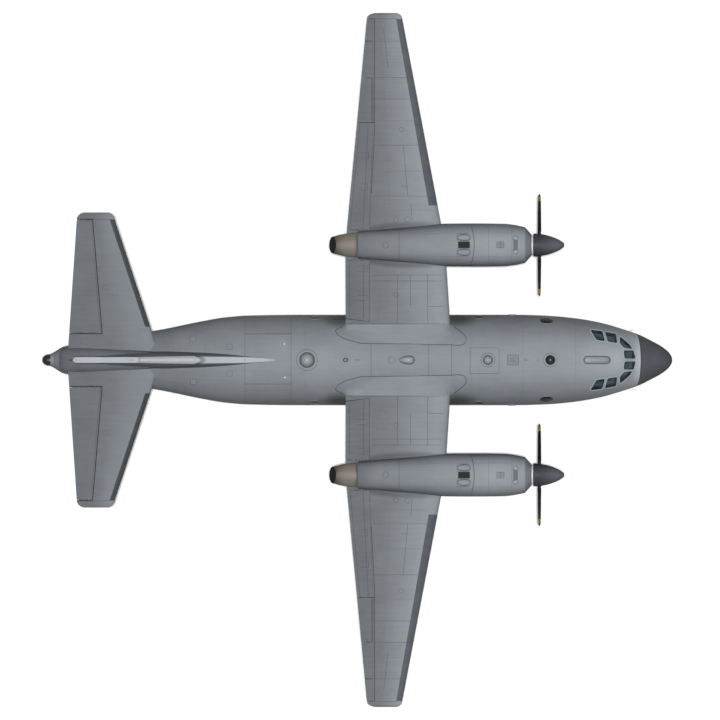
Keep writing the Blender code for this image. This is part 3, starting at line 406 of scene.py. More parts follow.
def mirrored(obj, name):
    mesh = obj.data.copy()
    mesh.transform(obj.matrix_world)
    mesh.transform(Matrix.Diagonal((1, -1, 1, 1)))
    mesh.flip_normals()
    return new_object(name, mesh)


def box(name, corner, far_corner):
    corner, far_corner = Vector(corner), Vector(far_corner)
    bm = bmesh.new()
    bmesh.ops.create_cube(bm, size=1)
    mesh = bpy.data.meshes.new(name)
    bm.to_mesh(mesh)
    bm.free()
    size = far_corner - corner
    mesh.transform(Matrix.Translation((corner + far_corner) / 2) @ Matrix.Diagonal((*size, 1)))
    return new_object(name, mesh)


def rod(name, start, end, radius, far_radius=None, sides=28):
    """A round bar between two points, tapered if far_radius is given."""
    start, end = Vector(start), Vector(end)
    bm = bmesh.new()
    bmesh.ops.create_cone(
        bm, cap_ends=True, segments=sides, radius1=radius, radius2=far_radius or radius,
        depth=(end - start).length,
    )
    turn = (end - start).to_track_quat("Z", "Y").to_matrix().to_4x4()
    bm.transform(Matrix.Translation((start + end) / 2) @ turn)
    mesh = bpy.data.meshes.new(name)
    bm.to_mesh(mesh)
    bm.free()
    return new_object(name, mesh)


def turned(name, profile, place, axis, sides=64, closed=False):
    """A shape turned about an axis from (distance along it, radius) pairs."""
    turn = Vector(axis).to_track_quat("Z", "Y").to_matrix()
    rings = []
    for along, radius in profile:
        ring = []
        for i in range(sides):
            a = math.tau * i / sides
            ring.append(Vector(place) + turn @ Vector((radius * math.cos(a), radius * math.sin(a), along)))
        rings.append(ring)
    return loft(name, rings, closed)


def joined(name, pieces):
    """Several objects as one. Their materials and sharp edges are kept."""
    pieces = [p for p in pieces if p is not None]
    with bpy.context.temp_override(
        active_object=pieces[0], object=pieces[0], selected_objects=pieces,
            selected_editable_objects=pieces,
    ):
        if len(pieces) > 1:
            bpy.ops.object.join()
    pieces[0].name = name
    return pieces[0]


def wear(obj, *materials):
    """Gives a piece its finish, or several for its faces' material indices."""
    obj.data.materials.clear()
    for material in materials:
        obj.data.materials.append(material)
    return obj


def placed(obj, body, slot, *nodes):
    """Puts a finished piece on its body, and hides the plain nodes that it stands for."""
    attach(obj, body)
    if nodes:
        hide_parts(*nodes)
    return obj


print("helpers ready")

# %% [markdown]
# ## Shared surface effects
# A whole plane wears one paint, so its weathering is worth writing once. Each effect is a node group that
# gives out only a colour, a mask or a value. The shader itself stays in each finish, where it can differ.

# %% Node group helpers
class Graph:
    """Short names for adding shader nodes and joining them."""

    def __init__(self, tree):
        self.tree = tree

    def add(self, kind, inputs=None, **settings):
        node = self.tree.nodes.new("ShaderNode" + kind)
        for key, value in settings.items():
            setattr(node, key, value)
        for key, value in (inputs or {}).items():
            if isinstance(value, bpy.types.NodeSocket):
                self.tree.links.new(value, node.inputs[key])
            else:
                node.inputs[key].default_value = value
        return node

    def math(self, operation, *values, clamp=False):
        return self.add("Math", dict(enumerate(values)), operation=operation, use_clamp=clamp).outputs[0]

    def spread(self, value, low_in, high_in, low_out, high_out, smooth_step=False):
        values = {"Value": value, "From Min": low_in, "From Max": high_in, "To Min": low_out,
            "To Max": high_out}
        kind = "SMOOTHSTEP" if smooth_step else "LINEAR"
        return self.add("MapRange", values, interpolation_type=kind).outputs[0]

    def mix(self, factor, a, b, blend="MIX"):
        node = self.add("Mix", data_type="RGBA", blend_type=blend)
        for socket, value in zip((node.inputs[0], node.inputs[6], node.inputs[7]), (factor, a, b)):
            if isinstance(value, bpy.types.NodeSocket):
                self.tree.links.new(value, socket)
            else:
                socket.default_value = value
        return node.outputs[2]

    def noise(self, scale, detail):
        place = self.add("TexCoord").outputs["Object"]
        return self.add("TexNoise", {"Vector": place, "Scale": scale, "Detail": detail}).outputs[0]

    def bump(self, height, strength=0.5):
        node = self.add("Bump", {"Height": height, "Strength": strength, "Distance": 1.0})
        self.join(node.outputs[0], self.shader.inputs["Normal"])

    def join(self, source, target):
        self.tree.links.new(source, target)


def effect(name, inputs, outputs):
    """A new node group with its named sockets, ready to be filled."""
    tree = bpy.data.node_groups.new(name, "ShaderNodeTree")
    for label, kind, value in inputs:
        tree.interface.new_socket(label, in_out="INPUT",
            socket_type="NodeSocket" + kind).default_value = value
    for label, kind in outputs:
        tree.interface.new_socket(label, in_out="OUTPUT", socket_type="NodeSocket" + kind)
    graph = Graph(tree)
    graph.given = tree.nodes.new("NodeGroupInput").outputs
    graph.result = tree.nodes.new("NodeGroupOutput").inputs
    return graph


def grey(value):
    return (value, value, value, 1.0)


def ramp(g, value, stops):
    """A tone that changes along a value, through (place, tone) stops."""
    low_at, high_at = stops[0][0], stops[-1][0]
    share = g.spread(value, low_at, high_at, 0.0, 1.0)
    node = g.add("ValToRGB", {"Fac": share})
    elements = node.color_ramp.elements
    elements[0].color, elements[-1].color = grey(stops[0][1]), grey(stops[-1][1])
    for at, tone in stops[1:-1]:
        elements.new((at - low_at) / (high_at - low_at)).color = grey(tone)
    return g.add("SeparateColor", {0: node.outputs[0]}).outputs[0]


# %% [markdown]
# ## Weathered paint
# Airflow drags dirt backwards, so the streaks are noise stretched along X. Wide soft mottling lies over
# them, as repainted panels never match. A mask mixes in soot and painted shadow, and roughness follows it.

# %% Weathering and rivets
def build_weathering():
    g = effect(
        "weathering",
        [
            ("Paint", "Color", grey(0.2)), ("Soot And Shadow", "Color", (0.03, 0.028, 0.025, 1)),
                ("Soot And Shadow Mask", "Float", 0.0),
            ("Shade", "Float", 1.0), ("Mottle", "Float", 0.05), ("Streaks", "Float", 0.05),
        ],
        [("Color", "Color"), ("Roughness", "Float"), ("Height", "Float")],
    )
    place = g.add("TexCoord").outputs["Object"]
    wide = g.add("TexNoise", {"Vector": place, "Scale": 0.9, "Detail": 3.0, "Roughness": 0.6}).outputs[0]
    fine = g.add("TexNoise", {"Vector": place, "Scale": 7.0, "Detail": 4.0, "Roughness": 0.65}).outputs[0]
    drawn = g.add("Mapping", {"Vector": place, "Scale": (0.45, 6.0, 3.0)}).outputs[0]
    streak = g.add("TexNoise", {"Vector": drawn, "Scale": 1.6, "Detail": 5.0, "Roughness": 0.6}).outputs[0]
    mottle = g.math("ADD", g.spread(wide, 0.3, 0.7, -1, 1), g.spread(fine, 0.3, 0.7, -0.4, 0.4))
    tone = g.math("MULTIPLY_ADD", mottle, g.given["Mottle"], g.given["Shade"])
    tone = g.math("MULTIPLY_ADD", g.spread(streak, 0.3, 0.7, -1, 1), g.given["Streaks"], tone)
    tint = g.add("CombineColor", {0: tone, 1: tone, 2: tone}).outputs[0]
    clean = g.mix(1.0, g.given["Paint"], tint, "MULTIPLY")
    # The mask holds real exhaust soot and painted shadow at the wing roots and beside the nacelles.
    patchy = g.math("MULTIPLY", g.given["Soot And Shadow Mask"], g.spread(streak, 0.25, 0.75, 0.7, 1.25), clamp=True)
    g.join(g.mix(patchy, clean, g.given["Soot And Shadow"]), g.result["Color"])
    rough = g.spread(fine, 0.3, 0.7, 0.58, 0.68)
    g.join(g.math("MULTIPLY_ADD", patchy, 0.25, rough), g.result["Roughness"])
    g.join(g.math("MULTIPLY", fine, 0.3), g.result["Height"])
    return g.tree


def build_rivet_rows():
    g = effect(
        "rivet_rows",
        [
            ("Along", "Float", 0.0), ("Across", "Float", 0.0), ("Row Pitch", "Float", 0.55),
            ("Rivet Pitch", "Float", 0.05), ("Radius", "Float", 0.005),
        ],
        [("Mask", "Float")],
    )
    half_row = g.math("MULTIPLY", g.given["Row Pitch"], 0.5)
    half_rivet = g.math("MULTIPLY", g.given["Rivet Pitch"], 0.5)
    a = g.math("PINGPONG", g.given["Along"], half_row)
    b = g.math("PINGPONG", g.given["Across"], half_rivet)
    away = g.math("SQRT", g.math("ADD", g.math("MULTIPLY", a, a), g.math("MULTIPLY", b, b)))
    share = g.math("DIVIDE", away, g.given["Radius"])
    g.join(g.spread(share, 0.4, 1.0, 1.0, 0.0, True), g.result["Mask"])
    return g.tree


def build_soft_spot():
    """One inside an ellipsoid in the frame, fading to nothing at its edge."""
    g = effect(
        "soft_spot",
        [("Centre", "Vector", (0, 0, 0)), ("Reach", "Vector", (1, 1, 1)), ("Core", "Float", 0.3)],
        [("Mask", "Float")],
    )
    place = g.add("TexCoord").outputs["Object"]
    away = g.add("VectorMath", {0: place, 1: g.given["Centre"]}, operation="SUBTRACT").outputs[0]
    away = g.add("VectorMath", {0: away, 1: g.given["Reach"]}, operation="DIVIDE").outputs[0]
    length = g.add("VectorMath", {0: away}, operation="LENGTH").outputs["Value"]
    g.join(g.spread(length, 1.0, g.given["Core"], 0.0, 1.0, True), g.result["Mask"])
    return g.tree


def build_flank_shade():
    """Painted shade: a skin is painted darker as it turns from facing up to facing sideways, kept in the
    piece's own axes.
    """
    g = effect("flank_shade", [("Depth", "Float", 1.0)], [("Tone", "Float")])
    facing = g.add("SeparateXYZ", {0: g.add("TexCoord").outputs["Normal"]}).outputs[2]
    tone = ramp(g, facing, [(-1, 0.75), (-0.4, 0.66), (0.1, 0.64), (0.4, 0.65), (0.6, 0.76), (0.8, 0.87),
        (0.9, 0.95), (1, 1.0)])
    lost = g.math("MULTIPLY", g.math("SUBTRACT", 1.0, tone), g.given["Depth"])
    g.join(g.math("SUBTRACT", 1.0, lost), g.result["Tone"])
    return g.tree


WEATHERING = build_weathering()
FLANK_SHADE = build_flank_shade()
RIVET_ROWS = build_rivet_rows()
SOFT_SPOT = build_soft_spot()
print("effects:", [tree.name for tree in bpy.data.node_groups])


# %% [markdown]
# ## The grey paints
# Fuselage, wing and tail share the recipe and differ in tone, in how they darken towards the back, and in
# the coordinates that their rivets run along. That darkening is mostly painted light, as if lit from ahead.
# Round a fuselage the rivets follow the angle about its axis.

# %% Paint finishes
def bare(name):
    made = bpy.data.materials.new(name)
    made.use_nodes = True
    graph = Graph(made.node_tree)
    graph.shader = made.node_tree.nodes["Principled BSDF"]
    return made, graph


def set_values(shader, **values):
    for key, value in values.items():
        shader.inputs[key.replace("_", " ")].default_value = value


def spot_mask(g, spots):
    """The strongest of several soft spots, each (centre, reach, core, strength)."""
    total = None
    for centre_at, reach, core, strength in spots:
        node = g.add("Group", node_tree=SOFT_SPOT)
        node.inputs["Centre"].default_value = centre_at
        node.inputs["Reach"].default_value = reach
        node.inputs["Core"].default_value = core
        one = g.math("MULTIPLY", node.outputs[0], strength)
        total = one if total is None else g.math("MAXIMUM", total, one)
    return total


def paint(name, colour, tones=((-13, 1.0), (13, 1.0)), run="X", rivets=None, spots=(), mottle=0.05,
    streaks=0.04,
          level=0.1, rough=None, flank=1.0, painted_crest_highlight=None):
    """run is X, UV or HEIGHT: what the tones follow. rivets is BODY, WING, FIN, ENGINE or nothing."""
    made, g = bare(name)
    place = g.add("TexCoord").outputs["Object"]
    x, y, z = g.add("SeparateXYZ", {0: place}).outputs
    if run == "UV":
        along = g.add("SeparateXYZ", {0: g.add("UVMap", uv_map="chord_and_span").outputs[0]}).outputs[0]
    else:
        along = {"X": x, "HEIGHT": z}[run]
    worn = g.add("Group", node_tree=WEATHERING)
    worn.inputs["Paint"].default_value = (*colour, 1.0)
    worn.inputs["Mottle"].default_value = mottle
    worn.inputs["Streaks"].default_value = streaks
    # The tone ramp and the flank tone paint light and shade into the colour. The flank tone darkens faces
    # that turn sideways.
    shade = g.math("MULTIPLY", ramp(g, along, list(tones)),
        g.add("Group", {"Depth": flank}, node_tree=FLANK_SHADE).outputs[0])
    # Painted highlight: faces that look up near the centre line are painted lighter.
    if painted_crest_highlight:
        facing = g.add("SeparateXYZ", {0: g.add("TexCoord").outputs["Normal"]}).outputs[2]
        up = g.spread(facing, 0.12, 0.3, 0.0, 1.0, True)
        near = g.spread(g.math("ABSOLUTE", y), 0.135, 0.115, 0.0, 1.0, True)
        shade = g.spread(g.math("MULTIPLY", up, near), 0.0, 1.0, shade, painted_crest_highlight)
    g.join(shade, worn.inputs["Shade"])
    if spots:
        g.join(spot_mask(g, spots), worn.inputs["Soot And Shadow Mask"])
    g.join(worn.outputs["Color"], g.shader.inputs["Base Color"])
    if rough is None:
        g.join(worn.outputs["Roughness"], g.shader.inputs["Roughness"])
    else:
        g.shader.inputs["Roughness"].default_value = rough
    g.shader.inputs["Specular IOR Level"].default_value = level
    height = g.math("MULTIPLY", worn.outputs["Height"], 0.0006)
    if rivets:
        around = g.math("MULTIPLY", g.math("ARCTAN2", y, g.math("SUBTRACT", z, 2.75)), 1.87)
        rows = {"BODY": (x, around), "WING": (y, x), "FIN": (z, x), "ENGINE": (x, z)}[rivets]
        row = g.add("Group", {"Along": rows[0], "Across": rows[1]}, node_tree=RIVET_ROWS)
        height = g.math("MULTIPLY_ADD", row.outputs[0], 0.00025, height)
    g.bump(height, 0.6)
    return made


BODY_GREY = (0.193, 0.207, 0.224)
WING_GREY = (0.198, 0.212, 0.23)
TAIL_GREY = (0.16, 0.172, 0.187)
ROOT_SHADOW = [
    (centre_at, reach, 0.15, 0.75)
    for side, _ in SIDES
    for centre_at, reach in (
        ((4.1, side * 1.72, 3.6), (1.15, 0.62, 1.0)), ((-0.65, side * 1.72, 3.6), (1.15, 0.62, 1.0)),
    )
]
EXHAUST_SOOT = [
    ((-0.9, side * ENGINE_Y, 4.5), (1.3, 0.55, 0.9), 0.1, 0.45) for side, _ in SIDES
]
NACELLE_SHADOW = [((2.2, side * ENGINE_Y, 4.6), (3.4, 1.05, 1.2), 0.8, 0.45) for side, _ in SIDES]
# Partly grime, darker towards the tail, and partly painted light: the nose is much lighter, as if lit from
# ahead.
BODY_LIGHT_AND_GRIME_TONES = (
    (-13, 0.6), (-8, 0.73), (-6, 0.88), (-4, 1.0), (-1, 1.05), (1.5, 0.99), (4.5, 1.06), (8, 1.11),
        (9.2, 1.15), (10.4, 1.41),
    (10.9, 1.65), (11.7, 2.1),
)
BODY_PAINT = paint("airframe_grey_paint", BODY_GREY, BODY_LIGHT_AND_GRIME_TONES, rivets="BODY", spots=ROOT_SHADOW)
# Painted light: the wing is lighter at its leading edge and darker towards the trailing edge, as if lit from
# ahead. The flaps carry on its dark end.
WING_PAINT = paint(
    "wing_grey_paint", WING_GREY,
        ((0, 1.2), (0.12, 1.12), (0.2, 1.0), (0.36, 0.88), (0.52, 0.75), (0.6, 0.68), (0.7, 0.65),
        (1, 0.62)),
    run="UV", rivets="WING", spots=EXHAUST_SOOT + NACELLE_SHADOW,
)
FLAP_PAINT = paint(
    "flap_grey_paint", WING_GREY, ((0.6, 0.62), (1, 0.59)), run="UV", rivets="WING", spots=EXHAUST_SOOT,
)
# Painted light: the tailplane is lighter at its leading edge and darker towards the trailing edge, as if lit
# from ahead.
TAIL_PAINT = paint(
    "tailplane_grey_paint", TAIL_GREY,
        ((0, 1.15), (0.15, 1.02), (0.25, 0.96), (0.35, 0.89), (0.45, 0.8), (0.75, 0.71), (1, 0.7)),
        run="UV", rivets="WING",
)
# The fin grows lighter towards its top, and its crest value paints a highlight on faces that look up near its
# top edge.
FIN_PAINT = paint(
    "fin_grey_paint", TAIL_GREY, ((4.3, 0.95), (5.4, 1.0), (9.2, 1.05), (9.72, 1.1)), run="HEIGHT",
        rivets="FIN", painted_crest_highlight=2.15,
)
# Painted light: the nacelle is lighter towards its front, as if lit from ahead, and its flank value paints
# its sides in shade.
NACELLE_PAINT = paint(
    "nacelle_grey_paint", WING_GREY,
        ((-0.1, 0.55), (0.8, 0.76), (2, 0.86), (3.2, 0.97), (4.4, 1.04), (5.4, 1.16), (6, 1.19),
        (6.8, 1.14), (7.2, 1.05)), rivets="ENGINE", flank=1.15,
)
RADOME_PAINT = paint("radome_dark_paint", (0.08, 0.087, 0.098), ((11, 1.02), (13.05, 0.92)), mottle=0.07,
    rough=0.55)
# Painted light: the spinner is darker at its back and lighter towards its front, as if lit from ahead.
SPINNER_PAINT = paint("spinner_dark_paint", (0.082, 0.089, 0.101),
    ((7.26, 0.5), (7.5, 0.51), (7.7, 0.63), (7.9, 0.83), (8.1, 1.03), (8.3, 1.15), (8.56, 1.0)),
    mottle=0.05, rough=0.5)
print("paints:", len(bpy.data.materials))

# %% [markdown]
# ## Rubber, metal, glass and cloth
# Rubber and cloth scatter light with hardly any shine, so they get a low specular level and a fine bump.
# The jet pipe is brown from heat, so its colour runs from straw to black along its length.

# %% Other finishes
def plain(name, colour, rough=0.5, metal=0.0, level=0.5, speckle=0.06, scale=30.0, bump=0.0004, coat=0.0):
    """A finish with a fine speckle in its colour and a little unevenness in its surface."""
    made, g = bare(name)
    noise = g.noise(scale, 4.0)
    tone = g.spread(noise, 0.3, 0.7, 1 - speckle, 1 + speckle)
    tint = g.add("CombineColor", {0: tone, 1: tone, 2: tone}).outputs[0]
    g.join(g.mix(1.0, (*colour, 1.0), tint, "MULTIPLY"), g.shader.inputs["Base Color"])
    g.join(g.spread(noise, 0.3, 0.7, max(rough - 0.05, 0.02), min(rough + 0.05, 1.0)),
        g.shader.inputs["Roughness"])
    set_values(g.shader, Metallic=metal, Specular_IOR_Level=level, Coat_Weight=coat)
    height = g.math("MULTIPLY", noise, bump)
    g.bump(height)
    return made


def boot_rubber(name, colour):
    """Ice boots: black rubber over air tubes that run along the span."""
    made, g = bare(name)
    along = g.add("SeparateXYZ", {0: g.add("UVMap", uv_map="chord_and_span").outputs[0]}).outputs[0]
    tube = g.math("PINGPONG", along, 0.012)
    noise = g.noise(3.0, 4.0)
    tone = g.math("ADD", g.spread(tube, 0.0, 0.012, -0.12, 0.1), g.spread(noise, 0.3, 0.7, 0.9, 1.1))
    tint = g.add("CombineColor", {0: tone, 1: tone, 2: tone}).outputs[0]
    g.join(g.mix(1.0, colour, tint, "MULTIPLY"), g.shader.inputs["Base Color"])
    set_values(g.shader, Roughness=0.65, Specular_IOR_Level=0.2)
    g.bump(g.math("MULTIPLY", tube, 0.2))
    return made


def window_glass():
    made, g = bare("cockpit_window_glass")
    noise = g.noise(5.0, 3.0)
    depth = g.spread(noise, 0.3, 0.7, 0.0, 1.0)
    g.join(g.mix(depth, (0.01, 0.022, 0.026, 1), (0.04, 0.075, 0.085, 1)), g.shader.inputs["Base Color"])
    set_values(g.shader, Roughness=0.15, Specular_IOR_Level=0.35, Coat_Weight=0.1, Alpha=0.94)
    return made


def hot_metal():
    made, g = bare("heat_stained_nozzle")
    place = g.add("TexCoord").outputs["Object"]
    x = g.add("SeparateXYZ", {0: place}).outputs[0]
    noise = g.add("TexNoise", {"Vector": place, "Scale": 2.4, "Detail": 5.0, "Roughness": 0.65}).outputs[0]
    shifted = g.math("MULTIPLY_ADD", g.spread(noise, 0.3, 0.7, -1, 1), 0.1, x)
    share = g.spread(shifted, 0.02, -1.0, 0.0, 1.0)
    node = g.add("ValToRGB", {"Fac": share})
    stops = ((0.0, (0.055, 0.052, 0.048)), (0.16, (0.155, 0.143, 0.125)), (0.55, (0.15, 0.132, 0.11)),
             (0.8, (0.11, 0.095, 0.08)), (1.0, (0.045, 0.04, 0.036)))
    elements = node.color_ramp.elements
    elements[0].color, elements[-1].color = (*stops[0][1], 1), (*stops[-1][1], 1)
    for at, colour in stops[1:-1]:
        elements.new(at).color = (*colour, 1)
    g.join(node.outputs[0], g.shader.inputs["Base Color"])
    set_values(g.shader, Roughness=0.55, Metallic=0.1, Specular_IOR_Level=0.2)
    return made


def seat_cloth():
    """Woven cloth: two crossed waves make the threads."""
    made, g = bare("seat_cloth")
    place = g.add("TexCoord").outputs["Object"]
    threads = []
    for turn in ((0, 0, 0), (0, 0, math.pi / 2)):
        at = g.add("Mapping", {"Vector": place, "Rotation": turn}).outputs[0]
        threads.append(g.add("TexWave", {"Vector": at, "Scale": 120.0, "Distortion": 0.6}).outputs["Fac"])
    weave = g.math("MULTIPLY", *threads)
    g.join(g.mix(weave, (0.035, 0.042, 0.036, 1), (0.085, 0.095, 0.08, 1)), g.shader.inputs["Base Color"])
    set_values(g.shader, Roughness=0.95, Specular_IOR_Level=0.15)
    g.bump(g.math("MULTIPLY", weave, 0.001))
    return made


def tyre_rubber():
    made, g = bare("tyre_rubber")
    noise = g.noise(24.0, 5.0)
    g.join(g.mix(g.spread(noise, 0.4, 0.75, 0, 1), (0.018, 0.018, 0.018, 1), (0.055, 0.052, 0.048, 1)),
           g.shader.inputs["Base Color"])
    set_values(g.shader, Roughness=0.85, Specular_IOR_Level=0.2)
    g.bump(g.math("MULTIPLY", noise, 0.002))
    return made


BOOT_RUBBER = boot_rubber("ice_boot_rubber", (0.076, 0.083, 0.094, 1))
TAIL_BOOT = boot_rubber("tail_boot_rubber", (0.04, 0.044, 0.05, 1))
GLASS, HOT_METAL, SEAT_CLOTH, TYRE = window_glass(), hot_metal(), seat_cloth(), tyre_rubber()
SEAM = plain("panel_seam_shadow", (0.062, 0.066, 0.072), 0.8, level=0.1)
FAINT_SEAM = plain("faint_panel_seam", (0.128, 0.138, 0.15), 0.8, level=0.1)
DARK_GAP = plain("dark_gap", (0.022, 0.023, 0.025), 0.9, level=0.1)
# Near black, for real soot in the jet pipes and for painted shade deep inside the intakes and pipes.
SOOT_AND_SHADE = plain("pipe_soot_and_duct_shade", (0.012, 0.012, 0.013), 0.9, level=0.1)
BLADE_BLACK = plain("blade_black_paint", (0.007, 0.007, 0.008), 0.6, level=0.12)
BLADE_YELLOW = plain("blade_tip_yellow", (0.36, 0.2, 0.018), 0.6, level=0.1, speckle=0.12)
BLADE_BROWN = plain("blade_tip_brown", (0.075, 0.042, 0.012), 0.6, level=0.1, speckle=0.2)
BARE_METAL = plain("bare_metal", (0.45, 0.44, 0.42), 0.35, 1.0)
POLISHED = plain("polished_strut", (0.75, 0.75, 0.74), 0.15, 1.0, speckle=0.02)
GEAR_PAINT = plain("gear_white_paint", (0.5, 0.51, 0.52), 0.4)
HUB_PAINT = plain("wheel_hub_paint", (0.36, 0.37, 0.38), 0.4)
INTERIOR = plain("cabin_grey_paint", (0.17, 0.18, 0.17), 0.7, scale=8.0)
BLACK_PLASTIC = plain("black_instrument_plastic", (0.015, 0.015, 0.016), 0.6)
# The domes' deep flank value paints their sides in shade.
DOME_GREY = paint("dome_grey_paint", (0.235, 0.25, 0.268), mottle=0.04, flank=1.9, level=0.2, rough=0.4)
DOME_DARK = plain("dome_dark_glass", (0.02, 0.021, 0.022), 0.35, level=0.3)
HATCH_PAINT = paint("hatch_grey_paint", (0.178, 0.19, 0.205), mottle=0.05)
PALE_MARK = plain("pale_marking_paint", (0.42, 0.43, 0.45), 0.6, level=0.2)
LAMP_RED = plain("red_lamp_glass", (0.45, 0.012, 0.01), 0.15, coat=0.5)
LAMP_GREEN = plain("green_lamp_glass", (0.01, 0.28, 0.06), 0.15, coat=0.5)
LAMP_CLEAR = plain("clear_lamp_glass", (0.65, 0.66, 0.66), 0.12, coat=0.5)


def screen_glow():
    made, g = bare("instrument_screen")
    noise = g.noise(18.0, 2.0)
    g.join(g.mix(g.spread(noise, 0.42, 0.6, 0, 1), (0.004, 0.012, 0.02, 1), (0.02, 0.1, 0.09, 1)),
           g.shader.inputs["Emission Color"])
    set_values(g.shader, Roughness=0.2, Emission_Strength=0.6)
    g.shader.inputs["Base Color"].default_value = grey(0.01)
    return made


SCREEN = screen_glow()
print("finishes:", len(bpy.data.materials))

# %% [markdown]
# ## Fuselage skins
# Each length of fuselage is a tube with a real wall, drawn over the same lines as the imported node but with
# four times the sides. Windows, doors and wheel wells are cut right through it, as they are in metal.

# %% Nose, middle and tail of the fuselage
RAMP_FRONT_X, RAMP_REAR_X, DOOR_REAR_X = high("cargo_ramp").x, -4.75, low("cargo_door").x
RAMP_HALF_WIDTH, DOOR_REAR_HALF_WIDTH = high("cargo_ramp").y, 1.0
RAMP_JOINT_SLOPE = math.tan(math.radians(35))
CREW_DOOR_X = (low("crew_door").x, high("crew_door").x)
CREW_DOOR_Z = (low("crew_door").z, high("crew_door").z)
NOSE_WELL = ((9.15, -0.36, 0.2), (10.45, 0.36, 1.75))
WINDOW_OUTLINES = {
    "front": [(11.02, 0.38), (11.42, 0.38), (11.49, 0.07), (11.06, 0.07)],
    "corner": [(10.87, 0.955), (11.08, 0.78), (11.25, 0.63), (11.36, 0.47), (11.04, 0.51), (10.865, 0.69)],
    "side_front": [(10.25, 1.155), (10.69, 1.07), (10.73, 0.71), (10.36, 0.77)],
    "side_rear": [(9.65, 1.24), (10.12, 1.18), (10.22, 0.79), (9.89, 0.835)],
}


def tube(name, xs, inset=0.0, wall=SKIN, sides=96):
    outer = [body_ring(x, inset, sides) for x in xs]
    inner = [body_ring(x, inset + wall, sides) for x in reversed(xs)]
    return loft(name, outer + inner, closed=True)


def rounded(outline, radius=0.05, steps=4):
    """A plan outline with each corner rounded off."""
    found = []
    for i, corner in enumerate(outline):
        corner = Vector(corner)
        before, after = Vector(outline[i - 1]), Vector(outline[(i + 1) % len(outline)])
        reach = min(radius, (before - corner).length * 0.45, (after - corner).length * 0.45)
        a, b = corner + (before - corner).normalized() * reach, corner + (after - corner).normalized() * reach
        for k in range(steps + 1):
            t = k / steps
            found.append(tuple(a * (1 - t) ** 2 + corner * 2 * t * (1 - t) + b * t * t))
    return found


def prism(name, outline, low_z, high_z):
    return loft(name, [[Vector((x, y, z)) for x, y in outline] for z in (low_z, high_z)])


def both_sides(outline, side):
    return [(x, side * y) for x, y in outline]


def ramp_joint_block(name, far_x, gap, reach_y):
    """A block up to the sloping joint between ramp and cargo door."""
    foot = bottom_z(RAMP_REAR_X)
    low_x, high_x = (RAMP_REAR_X + gap + (z - foot) * RAMP_JOINT_SLOPE for z in (0.2, 3.1))
    outline = [(far_x, 0.2), (far_x, 3.1), (high_x, 3.1), (low_x, 0.2)]
    return loft(name, [[Vector((x, y, z)) for x, z in outline] for y in (-reach_y, reach_y)])


def make_fuselage():
    tip = [NOSE_TIP_X - d for d in (0.0, 0.004, 0.012, 0.03, 0.06, 0.1, 0.16, 0.24, 0.34, 0.46, 0.6, 0.78,
        0.96, 1.14, 1.32)]
    base = NOSE_JOINT_X + 0.004
    radome = loft("radome_shell",
        [body_ring(x) for x in tip + [base]] + [body_ring(x, 0.04) for x in [base] + tip[:1:-1]], True)
    placed(wear(smooth(radome), RADOME_PAINT), "airframe", "dark_paint", "radome")

    nose = tube("nose_skin", stations(FRONT_JOINT_X, 9.0, 0.2) + stations(9.0, NOSE_JOINT_X - 0.004,
        0.11)[1:])
    cutters = []
    for name, outline in WINDOW_OUTLINES.items():
        for side, word in SIDES:
            cutters.append(prism(f"cut_{name}_{word}", both_sides(rounded(outline), side), 2.9, 5.2))
    (x0, x1), (z0, z1) = CREW_DOOR_X, CREW_DOOR_Z
    cutters.append(box("cut_crew_door", (x0 - RUN, 0.9, z0 - RUN), (x1 + RUN, 2.4, z1 + RUN)))
    cutters.append(box("cut_nose_well", *NOSE_WELL))
    cut(nose, *cutters)
    placed(wear(smooth(nose), BODY_PAINT), "airframe", "grey_paint", "nose_section")

    middle = tube("centre_fuselage_skin", stations(REAR_JOINT_X + 0.002, FRONT_JOINT_X - 0.002, 0.3))
    cut(middle, box("cut_wing_notch", (NOTCH_REAR_X, -3, NOTCH_Z), (NOTCH_FRONT_X, 3, 6)))
    placed(wear(smooth(middle), BODY_PAINT), "airframe", "grey_paint", "center_fuselage")

    rear = tube("rear_fuselage_skin", stations(REAR_JOINT_X, TAIL_JOINT_X, 0.2))
    hole = [(RAMP_FRONT_X + RUN, RAMP_HALF_WIDTH + RUN), (RAMP_REAR_X, RAMP_HALF_WIDTH + RUN),
            (DOOR_REAR_X - RUN, DOOR_REAR_HALF_WIDTH + RUN)]
    seat = [[Vector((p.x, side * p.y, p.z)) for p in TAILPLANE.section(1.6, grow=0.004)]
        for side in (-1, 1)]
    middle_ring = TAILPLANE.section(0.0, grow=0.004)
    cut(rear, prism("cut_cargo_opening", hole + [(x, -y) for x, y in reversed(hole)], 0.2, 3.15),
        loft("cut_tail_seat", [seat[0], middle_ring, seat[1]]))
    placed(wear(smooth(rear), BODY_PAINT), "airframe", "grey_paint", "rear_fuselage")

    cone = loft("tail_cone_skin", [body_ring(x) for x in stations(TAIL_JOINT_X - 0.002, -12.65, 0.06)])
    placed(wear(smooth(cone), BODY_PAINT), "airframe", "grey_paint", "tail_cone")


def make_saddle():
    """The crown over the wing."""
    rise, radius = NOTCH_Z + 0.001 - mid_z(0), top_z(0) - mid_z(0)
    outer_end, inner_end = math.acos(rise / radius), math.acos(rise / (radius - SKIN))
    rings = []
    for x in stations(NOTCH_REAR_X + 0.001, NOTCH_FRONT_X - 0.001, 0.25):
        outer = [body_point(x, outer_end * i / 24) for i in range(-24, 25)]
        inner = [body_point(x, -inner_end * i / 24, SKIN) for i in range(-24, 25)]
        rings.append(outer + inner)
    saddle = loft("wing_saddle_skin", rings)
    ring = WING.section(0.0, grow=0.004)
    cut(saddle, loft("cut_wing", [[Vector((p.x, y, p.z)) for p in ring] for y in (-0.6, 0.6)]))
    placed(wear(smooth(saddle), BODY_PAINT), "airframe", "grey_paint", "wing_fairing")


make_fuselage()
make_saddle()

